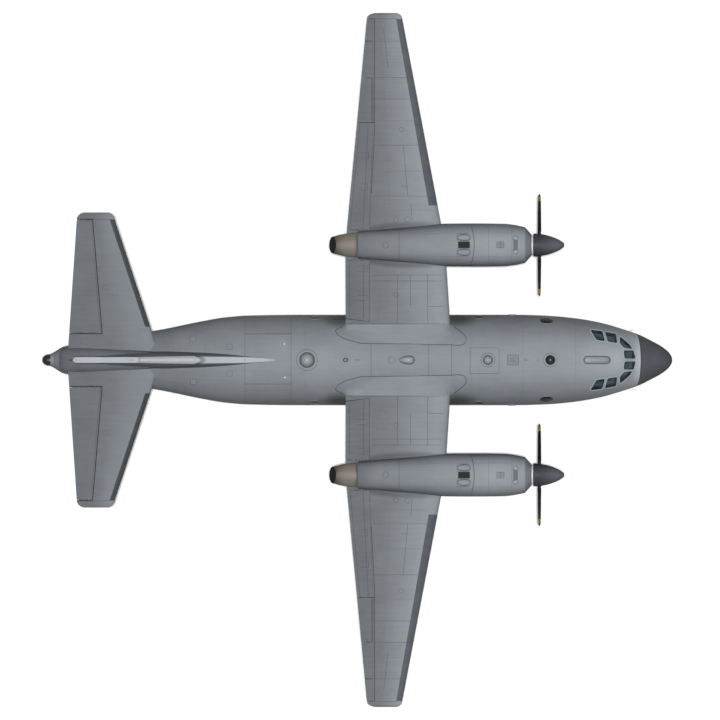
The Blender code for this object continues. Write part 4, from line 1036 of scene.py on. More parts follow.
# %% [markdown]
# ## Cargo ramp, cargo door and crew door
# A door is the same wall as the fuselage, cut out by the shape of its hole. Stiffening ribs and steps on
# its inner face show only when it opens, and they tell the two faces of the door apart.

# %% Doors
def rib(name, x, half, inset, depth_z, thick=0.05, sides=14):
    """A stiffener across the inside of a belly panel, from -half to half in Y."""
    rings = []
    for i in range(sides + 1):
        y = -half + 2 * half * i / sides
        low_ring = []
        reach = max(1 - (y / (half_width(x) - inset)) ** 2, 0.0)
        z = mid_z(x) - (mid_z(x) - bottom_z(x) - inset) * math.sqrt(reach)
        for dx, dz in ((-thick / 2, -0.01), (thick / 2, -0.01), (thick / 2, depth_z),
            (-thick / 2, depth_z)):
            low_ring.append(Vector((x + dx, y, z + dz)))
        rings.append(low_ring)
    return loft(name, rings)


def make_doors():
    ramp = tube("cargo_ramp_skin", stations(-2.2, -5.7, 0.18))
    cut(ramp, ramp_joint_block("keep_ramp", RAMP_FRONT_X, RUN, RAMP_HALF_WIDTH), operation="INTERSECT")
    placed(wear(smooth(ramp), BODY_PAINT), "cargo_ramp", "grey_paint", "cargo_ramp")
    deck_z = bottom_z(RAMP_FRONT_X) + SKIN
    ribs = [rib(f"ramp_rib_{i}", x, RAMP_HALF_WIDTH - 0.06, SKIN, 0.05) for i,
        x in enumerate((-2.62, -3.05, -3.5, -3.95, -4.35))]
    placed(wear(joined("cargo_ramp_ribs", ribs), INTERIOR), "cargo_ramp", "interior_grey")

    door = tube("cargo_door_skin", stations(-3.0, -8.0, 0.18))
    half = [(-3.1, RAMP_HALF_WIDTH), (RAMP_REAR_X, RAMP_HALF_WIDTH), (DOOR_REAR_X, DOOR_REAR_HALF_WIDTH)]
    cut(door, prism("keep_door", half + [(x, -y) for x, y in reversed(half)], 0.2, 3.3),
        operation="INTERSECT")
    cut(door, ramp_joint_block("keep_behind", -8.5, 0.0, 2.0), operation="INTERSECT")
    placed(wear(smooth(door), BODY_PAINT), "cargo_door", "grey_paint", "cargo_door")
    ribs = [rib(f"door_rib_{i}", x, h, SKIN, 0.05) for i,
        (x, h) in enumerate(((-4.95, 0.95), (-5.5, 0.92), (-6.05, 0.9), (-6.6, 0.86)))]
    placed(wear(joined("cargo_door_ribs", ribs), INTERIOR), "cargo_door", "interior_grey")

    (x0, x1), (z0, z1) = CREW_DOOR_X, CREW_DOOR_Z
    crew = tube("crew_door_skin", stations(7.7, 9.0, 0.1))
    cut(crew, box("keep_crew_door", (x0, 0.9, z0), (x1, 2.4, z1)), operation="INTERSECT")
    placed(wear(smooth(crew), BODY_PAINT), "crew_door", "grey_paint", "crew_door")
    middle = (x0 + x1) / 2
    steps = []
    for i in range(4):
        z = z0 + 0.28 + 0.36 * i
        rise = z - mid_z(middle)
        reach = top_z(middle) - mid_z(middle) if rise > 0 else mid_z(middle) - bottom_z(middle)
        y = half_width(middle) * math.sqrt(1 - (rise / reach) ** 2)
        steps.append(bevelled(box(f"step_{i}", (x0 + 0.1, y - SKIN - 0.17, z - 0.015),
            (x1 - 0.1, y - SKIN + 0.012, z + 0.015)), 0.006))
    placed(wear(joined("crew_door_steps", steps), BARE_METAL), "crew_door", "bare_metal")
    print("crew door steps:", len(steps), "deck at", round(deck_z, 2))


make_doors()

# %% [markdown]
# ## Wing, tailplane and fin
# The fixed surface is skinned station by station, and a cove is cut where each moving surface turns. The
# chord position of each face is stored as a UV, which the paint uses for painted light, darker towards the
# back.

# %% Fixed and moving surfaces
def chord_uv(obj, surface):
    """UVs that hold how far along the chord and the span each corner lies."""
    layer = obj.data.uv_layers.new(name="chord_and_span")
    points = obj.data.vertices
    for loop in obj.data.loops:
        p = points[loop.vertex_index].co
        span = p.z if surface.upright else abs(p.y)
        leading, trailing, _, _ = surface.station(min(span, surface.stations[-1][0]))
        layer.data[loop.index].uv = ((leading - p.x) / max(leading - trailing, 0.1), span / 10)
    return obj


def wing_ring(y, grow=0.0, surface=WING):
    return [Vector((p.x, y, p.z)) for p in surface.section(abs(y), grow=grow)]


def cove(name, item, side):
    cutter = loft(name, [cove_section(item, span) for span in (item[1] - END_GAP, item[2] + END_GAP)])
    if side < 0:
        flipped = mirrored(cutter, name + "_right")
        bpy.data.objects.remove(cutter, do_unlink=True)
        return flipped
    return cutter


def moving(name, item, finish):
    inner, outer = item[1], item[2]
    spans = [inner + (outer - inner) * i / 10 for i in range(11)]
    piece = loft(name, [moving_section(item, span) for span in spans])
    chord_uv(piece, item[0])
    return wear(smooth(piece), finish)


def pair(obj, name, slot_name, node=None, body=None):
    """A finished left piece and its mirror image, on the airframe or each on the body of its side."""
    other = mirrored(obj, name + "_right")
    for piece, word in ((obj, "left"), (other, "right")):
        piece.name = f"{name}_{word}"
        placed(piece, f"{body}_{word}" if body else "airframe", slot_name,
            *([f"{node}_{word}"] if node else []))
    return obj, other


def make_wing():
    spans = [-WING_BREAK_Y, *stations(-ENGINE_Y, ENGINE_Y, 0.5), WING_BREAK_Y]
    middle = loft("centre_wing_skin", [wing_ring(y) for y in spans])
    cut(middle, *(cove(f"cut_flap_{word}", FLAP_INNER, side) for side, word in SIDES))
    chord_uv(middle, WING)
    placed(wear(smooth(middle), WING_PAINT), "airframe", "wing_paint", "center_wing")

    tips = [s[0] for s in WING.stations if s[0] > TIP_CAP_Y]
    outer = loft("outer_wing",
        [wing_ring(y) for y in [WING_BREAK_Y + 0.001, *stations(OUTER_ROOT_Y, TIP_CAP_Y, 0.5), *tips]])
    cut(outer, cove("cut_outer_flap", FLAP_OUTER, 1), cove("cut_aileron", AILERON, 1))
    chord_uv(outer, WING)
    wear(smooth(outer), WING_PAINT)
    pair(outer, "outer_wing_skin", "wing_paint", "outer_wing")
    for name, item in (("inboard_flap", FLAP_INNER), ("outboard_flap", FLAP_OUTER), ("aileron", AILERON)):
        piece = moving(name, item, FLAP_PAINT)
        pair(piece, name + "_skin", "wing_paint", name, name)


def make_tail():
    tips = [s[0] for s in TAILPLANE.stations if s[0] > TAILPLANE_END[0]]
    spans = [*stations(0.0, TAILPLANE_END[0], 0.5), *tips]
    rings = [wing_ring(-y, surface=TAILPLANE)
        for y in reversed(spans[1:])] + [wing_ring(y, surface=TAILPLANE) for y in spans]
    plane = loft("tailplane_skin", rings)
    cut(plane, *(cove(f"cut_elevator_{word}", ELEVATOR, side) for side, word in SIDES))
    chord_uv(plane, TAILPLANE)
    placed(wear(smooth(plane), TAIL_PAINT), "airframe", "tail_paint", "tailplane")
    pair(moving("elevator", ELEVATOR, TAIL_PAINT), "elevator_skin", "tail_paint", "elevator", "elevator")

    tips = [s[0] for s in FIN.stations if s[0] > FIN_CAP_Z]
    fin = loft("fin_skin", [FIN.section(z) for z in [*stations(4.3, FIN_CAP_Z, 0.4), *tips]])
    cut(fin, cove("cut_rudder", RUDDER, 1))
    ridge = loft("dorsal_fin_skin", dorsal_rings())
    placed(wear(smooth(fin), FIN_PAINT), "airframe", "tail_paint", "fin")
    placed(wear(smooth(ridge, 60), RIDGE_PAINT), "airframe", "tail_paint")
    placed(moving("rudder_skin", RUDDER, FIN_PAINT), "rudder", "tail_paint", "rudder")
    make_tail_fairings()


# (x, half width, height above the fairing's foot)
TAIL_SADDLE = (
    (-7.35, 0.03, 0.16), (-7.8, 0.22, 0.27), (-8.5, 0.38, 0.33), (-9.6, 0.48, 0.36), (-11.2, 0.55, 0.37),
        (-11.8, 0.56, 0.33),
    (-12.15, 0.5, 0.24), (-12.4, 0.36, 0.1),
)


def make_tail_fairings():
    """The saddle round the fin's foot, and the cap along its top, painted pale as a highlight."""
    lines = [smooth_line([(s[0], s[k]) for s in TAIL_SADDLE], 0.0) for k in (1, 2)]
    rings = []
    for x in stations(TAIL_SADDLE[0][0], TAIL_SADDLE[-1][0], 0.12):
        w, h, foot = lines[0](x), lines[1](x), top_z(x) - 0.2
        arc = [Vector((x, w * math.cos(a), foot + (h + 0.06) * math.sin(a) ** 0.8))
            for a in (math.pi * i / 24 for i in range(25))]
        rings.append(arc + [Vector((x, -w, foot - 0.12)), Vector((x, w, foot - 0.12))])
    placed(wear(smooth(loft("tail_saddle_skin", rings), 60), SADDLE_GREY), "airframe", "tail_paint")
    rings = []
    for x in (-8.93, -8.95, -9.0, -9.08, *stations(-9.2, -11.5, 0.2), -11.6, -11.66, -11.69, -11.7):
        end = min(-8.93 - x, x + 11.7)
        w = 0.012 + 0.108 * math.sqrt(max(1 - max(1 - end / 0.13, 0.0) ** 2, 0.0))
        top = 9.55 + 0.16 * math.sqrt(max(1 - max(1 - (-8.93 - x) / 0.9, 0.0) ** 2,
            0.0)) - 0.1 * max(1 - (x + 11.7) / 0.4, 0.0) ** 2
        rings.append([Vector((x, y, z)) for y,
            z in rounded([(-w, 9.44), (w, 9.44), (w, top), (-w, top)], 0.03, 3)])
    placed(wear(smooth(loft("fin_cap", rings), 50), CAP_HIGHLIGHT_PAINT), "airframe", "tail_paint")


# (x, height, half width) of the low ridge that leads up to the fin
RIDGE_STATIONS = (
    (-3.4, 4.625, 0.02), (-3.8, 4.67, 0.08), (-4.4, 4.76, 0.13), (-5.36, 4.95, 0.19), (-6.3, 5.26, 0.22),
    (-7.2, 5.62, 0.24), (-8.0, 5.95, 0.25), (-8.6, 6.2, 0.24),
)
# The crest value paints a highlight along the ridge's top, on faces that look up.
RIDGE_PAINT = paint(
    "dorsal_ridge_paint", TAIL_GREY, ((4.6, 1.0), (6.3, 1.0)), run="HEIGHT", mottle=0.04, painted_crest_highlight=2.15,
)


def dorsal_rings():
    line = {k: smooth_line([(x, v[k]) for x, *v in RIDGE_STATIONS], 0.0) for k in (0, 1)}
    rings = []
    for x in stations(RIDGE_STATIONS[0][0], RIDGE_STATIONS[-1][0], 0.15):
        height, width = line[0](x), line[1](x)
        foot = top_z(x) - 0.12
        half = [(1.5, 0.0), (1.08, 0.35), (0.92, 0.75), (0.86, 0.9), (0.78, 0.965), (0.6, 1.0),
            (0.3, 1.012)]
        ring = [Vector((x, width * k, foot + (height - foot) * t)) for k, t in half]
        rings.append(ring + [Vector((p.x, -p.y, p.z)) for p in reversed(ring)])
    return rings


SADDLE_GREY = paint("tail_saddle_paint", TAIL_GREY, ((-13, 0.62), (-7, 0.7)), mottle=0.05)
# Painted highlight: the fin's leading edge strip and its top cap are painted pale where light falls on them.
FIN_EDGE_HIGHLIGHT_PAINT = paint("fin_edge_painted_highlight", (0.6, 0.625, 0.66), mottle=0.03, streaks=0.02, flank=0.0)
CAP_HIGHLIGHT_PAINT = paint("fin_cap_painted_highlight", (0.37, 0.385, 0.41), mottle=0.03, streaks=0.02)
make_wing()
make_tail()

# %% [markdown]
# ## Engines
# A cowling is one sheet rolled to a rounded square, so its sections are superellipses between a few
# measured stations. The joint between cowling and nacelle bows forward over the top, as its latch line does.

# %% Cowlings, nacelles and jet pipes
# (x, half width, top, bottom) behind the front chamfer
NACELLE_LINES = (
    (6.93, 0.74, 4.74, 3.26), (6.5, 0.83, 4.83, 3.12), (6.03, 0.88, 4.9, 3.06), (4.8, 0.893, 4.97, 3.06),
    (3.66, 0.885, 5.0, 3.1), (2.7, 0.81, 5.02, 3.3), (1.72, 0.71, 5.02, 3.62), (0.7, 0.61, 5.0, 4.02),
    (0.01, 0.56, 4.97, 4.22),
)
COWL_FACE = (7.2, 0.435, 4.47, 3.6)
COWL_JOINT_X = low("engine_cowling_left").x
nacelle_lines = [smooth_line([(s[0], s[k]) for s in NACELLE_LINES], 40.0) for k in (1, 2, 3)]


def nacelle_shape(x):
    """Half width, top and bottom of the nacelle at one station."""
    behind = [line(min(x, NACELLE_LINES[0][0])) for line in nacelle_lines]
    t = max((x - NACELLE_LINES[0][0]) / (COWL_FACE[0] - NACELLE_LINES[0][0]), 0.0)
    return [a + (b - a) * t for a, b in zip(behind, COWL_FACE[1:])]


def nacelle_ring(x, inset=0.0, sides=80):
    w, top, foot = nacelle_shape(x)
    middle, rise = (top + foot) / 2, (top - foot) / 2
    near = max(1 - abs(x - COWL_JOINT_X) / 0.45, 0.0)
    ring = []
    for i in range(sides):
        s, c = math.sin(math.tau * i / sides), math.cos(math.tau * i / sides)
        swell = (abs(s) ** 2.4 + abs(c) ** 2.4) ** (-1 / 2.4)
        bow = near * (0.16 * s * s if c > 0 else 0.16)
        ring.append(Vector((x - bow, ENGINE_Y + (w - inset) * s * swell,
            middle + (rise - inset) * c * swell)))
    return ring


def ring_about(x, radius, sides=80):
    angles = [math.tau * i / sides for i in range(sides)]
    return [Vector((x, ENGINE_Y + radius * math.sin(a), PROP_AXIS_Z + radius * math.cos(a)))
        for a in angles]


def rounded_box_ring(x, half_y, z0, z1, radius):
    y0, y1 = ENGINE_Y - half_y, ENGINE_Y + half_y
    corners = [(y0, z0), (y1, z0), (y1, z1), (y0, z1)]
    return [Vector((x, a, b)) for a, b in rounded(corners, radius, 6)]


def banded(obj, *rules):
    """Gives each face the index of the first rule that its centre passes, counted from one."""
    for face in obj.data.polygons:
        face.material_index = next((i + 1 for i, rule in enumerate(rules) if rule(face.center)), 0)
    return obj


def make_cowling():
    xs = [*stations(COWL_JOINT_X + 0.003, 6.93, 0.12), 7.02, 7.11, 7.18]
    outer = [nacelle_ring(x) for x in xs] + [nacelle_ring(7.197, 0.012)]
    face = [ring_about(7.2, r) for r in (0.4, 0.3, 0.17, 0.16)] + [ring_about(7.15, 0.16),
        ring_about(7.15, 0.3)]
    inner = [nacelle_ring(x, 0.04) for x in [7.1, *reversed(xs[:-3])]]
    cowl = loft("cowling", outer + face + inner, closed=True)
    cut(cowl, loft("cut_intake", [rounded_box_ring(x, 0.3, 3.28, 3.5, 0.09) for x in (6.6, 7.6)]))
    wear(smooth(cowl), NACELLE_PAINT)
    pair(cowl, "engine_cowling_skin", "grey_paint", "engine_cowling")

    outside = [rounded_box_ring(x, 0.3 + g, 3.28 - g, 3.5 + g, 0.09) for x,
        g in ((6.62, 0.014), (7.13, 0.014), (7.165, 0.008))]
    inside = [rounded_box_ring(x, 0.3 - g, 3.28 + g, 3.5 - g, 0.09) for x,
        g in ((7.165, 0.002), (7.12, 0.008), (6.62, 0.012))]
    lip = loft("intake_lip", outside + inside, closed=True)
    # Painted shade: the lip's faces inside the intake, and the wall behind it, are near black for the deep
    # duct.
    wear(smooth(lip), BARE_METAL, SOOT_AND_SHADE)
    banded(lip, lambda c: c.x < 7.05)
    pair(lip, "engine_intake_lip", "bare_metal")

    back = [rounded_box_ring(x, 0.29, 3.29, 3.49, 0.085) for x in (6.6, 6.625)]
    wear(loft("intake_back", back), SOOT_AND_SHADE)
    pair(bpy.data.objects["intake_back"], "engine_intake_screen", "dark_paint")

    collar = turned("collar", [(7.19, 0.41), (7.238, 0.405), (7.246, 0.395), (7.246, 0.36), (7.19, 0.36)],
                    (0, ENGINE_Y, PROP_AXIS_Z), (1, 0, 0), closed=True)
    wear(smooth(collar), PALE_METAL)
    pair(collar, "engine_front_ring", "bare_metal")


def make_nacelle():
    xs = [COWL_JOINT_X - 0.003, *stations(4.7, 0.07, 0.14), 0.03, 0.01]
    rings = [nacelle_ring(x, 0.015 if x == 0.01 else 0.0) for x in xs]
    nacelle = loft("nacelle", rings)
    cut(nacelle, loft("cut_wing",
        [wing_ring(s, grow=0.004) for s in (3.6, ENGINE_Y, WING_BREAK_Y, OUTER_ROOT_Y)]))
    wear(smooth(nacelle), NACELLE_PAINT)
    pair(nacelle, "nacelle_skin", "wing_paint", "nacelle")

    lines = ((-0.028, 0.505, 0.338), (-0.1, 0.505, 0.335), (-0.3, 0.49, 0.322), (-0.5, 0.468, 0.3),
        (-0.68, 0.435, 0.282), (-0.8, 0.405, 0.268))
    rings = [[Vector((x, ENGINE_Y + w * math.sin(a), 4.605 + h * math.cos(a))) for a in turn_angles()]
        for x, w, h in lines]
    lips = []
    for k, (wide, tall) in enumerate(((0.345, 0.243), (0.335, 0.237), (0.318, 0.226))):
        reach = (0.92, 1.0, 0.97)[k]
        lips.append([
            Vector((-0.885 - 0.283 * (1 - math.cos(a)) / 2 * reach - 0.002 * k,
                ENGINE_Y + wide * math.sin(a), 4.61 + tall * math.cos(a)))
            for a in turn_angles()
        ])
    bore = [[Vector((x, ENGINE_Y + w * math.sin(a), 4.61 + h * math.cos(a))) for a in turn_angles()]
            for x, w, h in ((-0.78, 0.37, 0.245), (-0.5, 0.42, 0.262), (-0.2, 0.38, 0.25))]
    nozzle = loft("nozzle", rings + lips + bore)
    # The pipe's inner faces are real soot and painted shade of the deep bore.
    wear(smooth(nozzle, 50), HOT_METAL, SOOT_AND_SHADE)
    inside_count = len(turn_angles()) * 2
    for face in nozzle.data.polygons[-inside_count - 2:]:
        face.material_index = 1
    for face in nozzle.data.polygons:
        if (face.center - Vector((face.center.x, ENGINE_Y,
            4.61))).dot(face.normal) < 0 or len(face.vertices) > 4:
            face.material_index = 1
    pair(nozzle, "exhaust_nozzle_skin", "hot_metal", "exhaust_nozzle")


def turn_angles(count=64):
    return [math.tau * i / count for i in range(count)]


PALE_METAL = plain("pale_ring_paint", (0.62, 0.62, 0.62), 0.4, level=0.4)
make_cowling()
make_nacelle()
for side, word in SIDES:
    wear(bpy.data.objects[f"engine_{word}"], BARE_METAL)
print("engine cowlings, nacelles and nozzles made")

# %% [markdown]
# ## Propellers
# A blade twists from nearly edge-on at its root to flat at its tip. Each section is a thin aerofoil turned
# by its pitch. The tip bands are faces of the same mesh with their own finish, as they are only paint.

# %% Spinners and blades
# (distance from the tip of the spinner, radius)
SPINNER_LINE = (
    (0.0, 0.0), (0.02, 0.08), (0.095, 0.14), (0.2, 0.21), (0.37, 0.29), (0.56, 0.36), (0.73, 0.41),
    (0.98, 0.455), (1.15, 0.475), (1.28, 0.478),
)
# (radius, chord, thickness, pitch in degrees)
BLADE_LINES = (
    (0.2504, 0.13, 0.13, 90), (0.5, 0.13, 0.13, 90), (0.66, 0.2, 0.095, 42), (0.95, 0.29, 0.058, 27),
    (1.35, 0.33, 0.04, 23), (1.75, 0.32, 0.026, 21.5), (2.03, 0.28, 0.016, 21),
        (PROP_RADIUS, 0.13, 0.008, 21),
)
BLADES_PER_PROPELLER = 2
SPINNER_TIP_X = high("spinner_left").x
BLADE_PARTS = [smooth_line([(-s[0], s[k]) for s in BLADE_LINES], 40.0) for k in (1, 2, 3)]


def make_blade(name, hub, angle):
    spin = Matrix.Rotation(angle, 4, "X")
    radii = [0.2504, 0.5, *stations(0.54, PROP_RADIUS - 0.12, 0.06),
        *(PROP_RADIUS - d for d in (0.09, 0.06, 0.035, 0.018, 0.006, 0.0))]
    rings = []
    for radius in radii:
        chord, thick, pitch = (part(-radius) for part in BLADE_PARTS)
        left_over = (PROP_RADIUS - radius) / 0.12
        if left_over < 1:
            chord *= 0.3 + 0.7 * math.sqrt(max(1 - (1 - left_over) ** 2, 0.0))
        twist = math.radians(pitch)
        ring = []
        for i in range(28):
            a = math.tau * i / 28
            along = chord / 2 * math.cos(a)
            lean = (1 - math.cos(a)) * 0.12 if radius > 0.6 else 0.0
            across = thick / 2 * math.sin(a) * (1 - lean)
            forward = along * math.sin(twist) + across * math.cos(twist)
            sweep = along * math.cos(twist) - across * math.sin(twist)
            ring.append(hub + spin @ Vector((forward, radius, sweep)))
        rings.append(ring)
    blade = smooth(loft(name, rings), 40)
    wear(blade, BLADE_BLACK, BLADE_YELLOW, BLADE_BROWN)
    yellow_from, brown_from = PROP_RADIUS - 0.27, PROP_RADIUS - 0.13
    return banded(
        blade, lambda c: yellow_from < (c - hub).length < brown_from,
            lambda c: (c - hub).length >= brown_from,
    )


def make_propeller(side, word):
    hub = Vector((PROP_PLANE_X, side * ENGINE_Y, PROP_AXIS_Z))
    line = smooth_line([(SPINNER_TIP_X - d, r) for d, r in SPINNER_LINE], SPINNER_TIP_X)
    length = SPINNER_LINE[-1][0]
    depths = [length * (i / 40) ** 2 for i in range(1, 41)]
    profile = [(-length, 0.0), (-length, 0.44), (-length + 0.006, 0.474)]
    profile += [(-d, line(SPINNER_TIP_X - d))
        for d in reversed(depths[:-1]) if d < length - 0.01] + [(0.0, 0.001)]
    spinner = turned(f"spinner_{word}_shell", profile, (SPINNER_TIP_X, hub.y, hub.z), (1, 0, 0))
    for i in range(BLADES_PER_PROPELLER):
        angle = math.tau * i / BLADES_PER_PROPELLER
        outward = Vector((0, math.cos(angle), math.sin(angle)))
        cut(spinner, rod("cut_shank", hub + outward * 0.25, hub + outward * 0.7, 0.076, None, 40))
        blade = make_blade(f"propeller_blade_{word}_{i + 1}_skin", hub, angle)
        placed(blade, f"propeller_{word}", "blade_paint", f"propeller_blade_{word}_{i + 1}")
        cuff = turned(f"blade_cuff_{word}_{i + 1}",
            [(0.4, 0.066), (0.4, 0.074), (0.475, 0.074), (0.48, 0.066)], hub, outward, 40, True)
        placed(wear(smooth(cuff), DARK_GAP), f"propeller_{word}", "bare_metal")
    wear(smooth(spinner, 30), SPINNER_PAINT, PALE_METAL)
    banded(spinner, lambda c: c.x < SPINNER_TIP_X - length + 0.003)
    placed(spinner, f"propeller_{word}", "dark_paint", f"spinner_{word}")
    seam = turned(f"spinner_{word}_seam",
        [(-1.19, 0.4725), (-1.19, 0.4785), (-1.178, 0.478), (-1.178, 0.472)],
                  (SPINNER_TIP_X, hub.y, hub.z), (1, 0, 0), closed=True)
    placed(wear(seam, DARK_GAP), f"propeller_{word}", "dark_paint")


for side, word in SIDES:
    make_propeller(side, word)
print("propellers made, spinner tip at x", round(SPINNER_TIP_X, 3))

# %% [markdown]
# ## Sponsons and main landing gear
# The blisters beside the belly house two wheels each, one behind the other. Tyres are turned profiles with
# grooves in the tread, and the leg is a cast beam with an oil strut, axle and brake for each wheel.

# %% Sponsons, legs and wheels
MAIN_XS = (centre("main_wheel_front_left").x, centre("main_wheel_rear_left").x)
MAIN_WHEEL_Y, MAIN_RADIUS = centre("main_wheel_front_left").y, high("main_wheel_front_left").z / 2
# (x, spread, bottom)
SPONSON_LINES = (
    (3.66, 0.3, 1.15), (3.3, 0.62, 0.86), (2.7, 0.88, 0.66), (1.9, 1.0, 0.6), (0.7, 1.0, 0.6),
        (0.2, 0.86, 0.68), (-0.4, 0.35, 1.1),
)
BAY_TOP_Z, BAY_SIDES = 1.36, (1.3, 2.36)


def make_sponson():
    spread_line, low_line = (smooth_line([(s[0], s[k]) for s in SPONSON_LINES], 40.0) for k in (1, 2))
    rings = []
    for x in stations(3.66, -0.4, 0.12):
        s, foot = spread_line(x), low_line(x)
        out, top = 1.8 + 0.68 * s, 1.6 + 0.75 * s
        outline = [
            (0.9, foot), (1.9 * (0.55 + 0.45 * s), foot), (out - 0.1, foot + 0.06), (out, foot + 0.3),
            (out, 1.55), (out - 0.1, 1.6 + 0.45 * s), (1.72, top), (0.9, 1.9),
        ]
        rings.append([Vector((x, y, z)) for y, z in rounded(outline, 0.22, 6)])
    sponson = loft("sponson", rings)
    hull = loft("cut_hull", [body_ring(x, -FIT) for x in stations(4.0, -2.0, 0.5)])
    bay = box("cut_bay", (MAIN_XS[1] - 0.6, BAY_SIDES[0], 0.0), (MAIN_XS[0] + 0.6, BAY_SIDES[1], BAY_TOP_Z))
    cut(sponson, hull, bay)
    wear(smooth(sponson, 30), BODY_PAINT, INTERIOR)
    low_x, high_x = MAIN_XS[1] - 0.6, MAIN_XS[0] + 0.6
    inner_y, outer_y = BAY_SIDES
    near = 0.001

    def in_bay(c):
        """Whether a face lies on the roof or a wall of the wheel bay."""
        if not (low_x - near <= c.x <= high_x + near and inner_y - near <= c.y <= outer_y + near):
            return False
        gaps = (c.z - BAY_TOP_Z, c.x - low_x, c.x - high_x, c.y - inner_y, c.y - outer_y)
        return 0.9 < c.z <= BAY_TOP_Z + near and min(abs(gap) for gap in gaps) < 2 * near

    banded(sponson, in_bay)
    pair(sponson, "sponson_skin", "wing_paint", "sponson")


def tyre_profile(radius, half, rim, grooves=(0.0, 0.32, 0.62)):
    """(along the axle, radius) from the outer bead round the tread to the inner bead."""
    side = [(half * 0.8, rim), (half * 0.93, rim + 0.012), (half, radius * 0.8),
        (half * 0.985, radius * 0.875), (half * 0.86, radius * 0.955),
            (half * 0.7, radius * 0.985)]
    for g in sorted((g for g in grooves if g > 0), reverse=True):
        at = half * g
        crown = radius * (1 - 0.012 * (g / 0.7) ** 2)
        side += [(at + 0.008, crown), (at + 0.005, crown - 0.008), (at - 0.005, crown - 0.008),
            (at - 0.008, crown)]
    side += [(0.008, radius), (0.005, radius - 0.008)]
    return side + [(-a, r) for a, r in reversed(side)]


def make_wheel(name, place, radius, half, rim, bore, body, node):
    tyre = turned(f"{name}_tyre",
        tyre_profile(radius, half, rim) + [(-half * 0.5, rim - 0.01), (half * 0.5, rim - 0.01)], place,
        (0, 1, 0), 72, True)
    placed(wear(smooth(tyre, 35), TYRE), body, "tyre_rubber", *([node] if node else []))
    hub_side = [(half * 0.8, bore), (half * 0.8, rim * 0.4), (half * 0.55, rim * 0.52),
        (half * 0.48, rim * 0.84), (half * 0.72, rim * 0.93),
                (half * 0.8, rim + 0.004), (half * 0.74, rim + 0.01)]
    hub = turned(f"{name}_hub", hub_side + [(-a, r) for a, r in reversed(hub_side)], place, (0, 1, 0), 64,
        True)
    parts = [smooth(hub, 35)]
    for k in range(8):
        a = math.tau * (k + 0.5) / 8
        at = Vector(place) + Vector((rim * 0.68 * math.cos(a), 0, rim * 0.68 * math.sin(a)))
        for sign in (1, -1):
            parts.append(rod("bolt", at + Vector((0, sign * half * 0.47, 0)),
                at + Vector((0, sign * half * 0.6, 0)), 0.012, 0.01, 6))
    placed(wear(joined(f"{name}_hub", parts), HUB_PAINT), body, "bare_metal")


def make_main_gear(side, word):
    leg_y = side * 1.7
    beam = bevelled(box("beam", (0.38, leg_y - 0.07, 1.1), (1.92, leg_y + 0.07, BAY_TOP_Z - FIT)), 0.02, 3)
    shiny, parts = [], [beam]
    for x in MAIN_XS:
        axle = Vector((x, leg_y, MAIN_RADIUS))
        parts.append(smooth(rod("cylinder", (x, leg_y, 0.8), (x, leg_y, 1.2), 0.075)))
        parts.append(smooth(rod("gland", (x, leg_y, 0.78), (x, leg_y, 0.83), 0.088)))
        shiny.append(smooth(rod("oleo", (x, leg_y, MAIN_RADIUS + 0.03), (x, leg_y, 0.8), 0.052)))
        parts.append(smooth(rod("fork", axle - Vector((0, side * 0.075, 0)),
            axle + Vector((0, side * 0.14, 0)), 0.074)))
        parts.append(smooth(rod("axle", axle, (x, side * (MAIN_WHEEL_Y + 0.1), MAIN_RADIUS), 0.055)))
        for z0, z1, dx in ((0.86, 0.7, 0.09), (0.54, 0.7, 0.09)):
            parts.append(bevelled(loft("torque_link", [
                [Vector((x + a, leg_y + b, z)) for a,
                    b in ((0.05, -w), (dx + 0.06, -w), (dx + 0.06, w), (0.05, w))]
                for z, w in ((z0, 0.045), (z1, 0.022))
            ]), 0.006))
        parts.append(smooth(rod("brake", (x, side * 1.8, MAIN_RADIUS), (x, side * 1.94, MAIN_RADIUS),
            0.17)))
        parts.append(smooth(rod("brake_line", (x - 0.085, leg_y, 1.12),
            (x - 0.06, leg_y + side * 0.06, MAIN_RADIUS + 0.05), 0.01, None, 10)))
    placed(wear(joined(f"main_gear_{word}_leg", parts), GEAR_PAINT), "airframe", "gear_paint",
        f"main_gear_{word}")
    placed(wear(joined(f"main_gear_{word}_oleos", shiny), POLISHED), "airframe", "bare_metal")
    for x, place in zip(MAIN_XS, ("front", "rear")):
        name = f"main_wheel_{place}_{word}"
        make_wheel(name, (x, side * MAIN_WHEEL_Y, MAIN_RADIUS), MAIN_RADIUS, 0.165, 0.24, 0.06, name, name)


make_sponson()
for side, word in SIDES:
    make_main_gear(side, word)
print("main wheels at x", [round(x, 2) for x in MAIN_XS], "radius", round(MAIN_RADIUS, 3))

# %% [markdown]
# ## Nose landing gear
# The leg is fixed to the airframe, while the yoke and both wheels steer. The torque link bridges the two
# on the real leg. Here its halves stay on their own sides of the joint, so steering never tears them.

# %% Nose leg, yoke, wheels and doors
NOSE_X, NOSE_RADIUS = centre("nose_wheels").x, high("nose_wheels").z / 2
NOSE_TRACK = 0.24
YOKE_TOP_Z = high("nose_gear_yoke").z


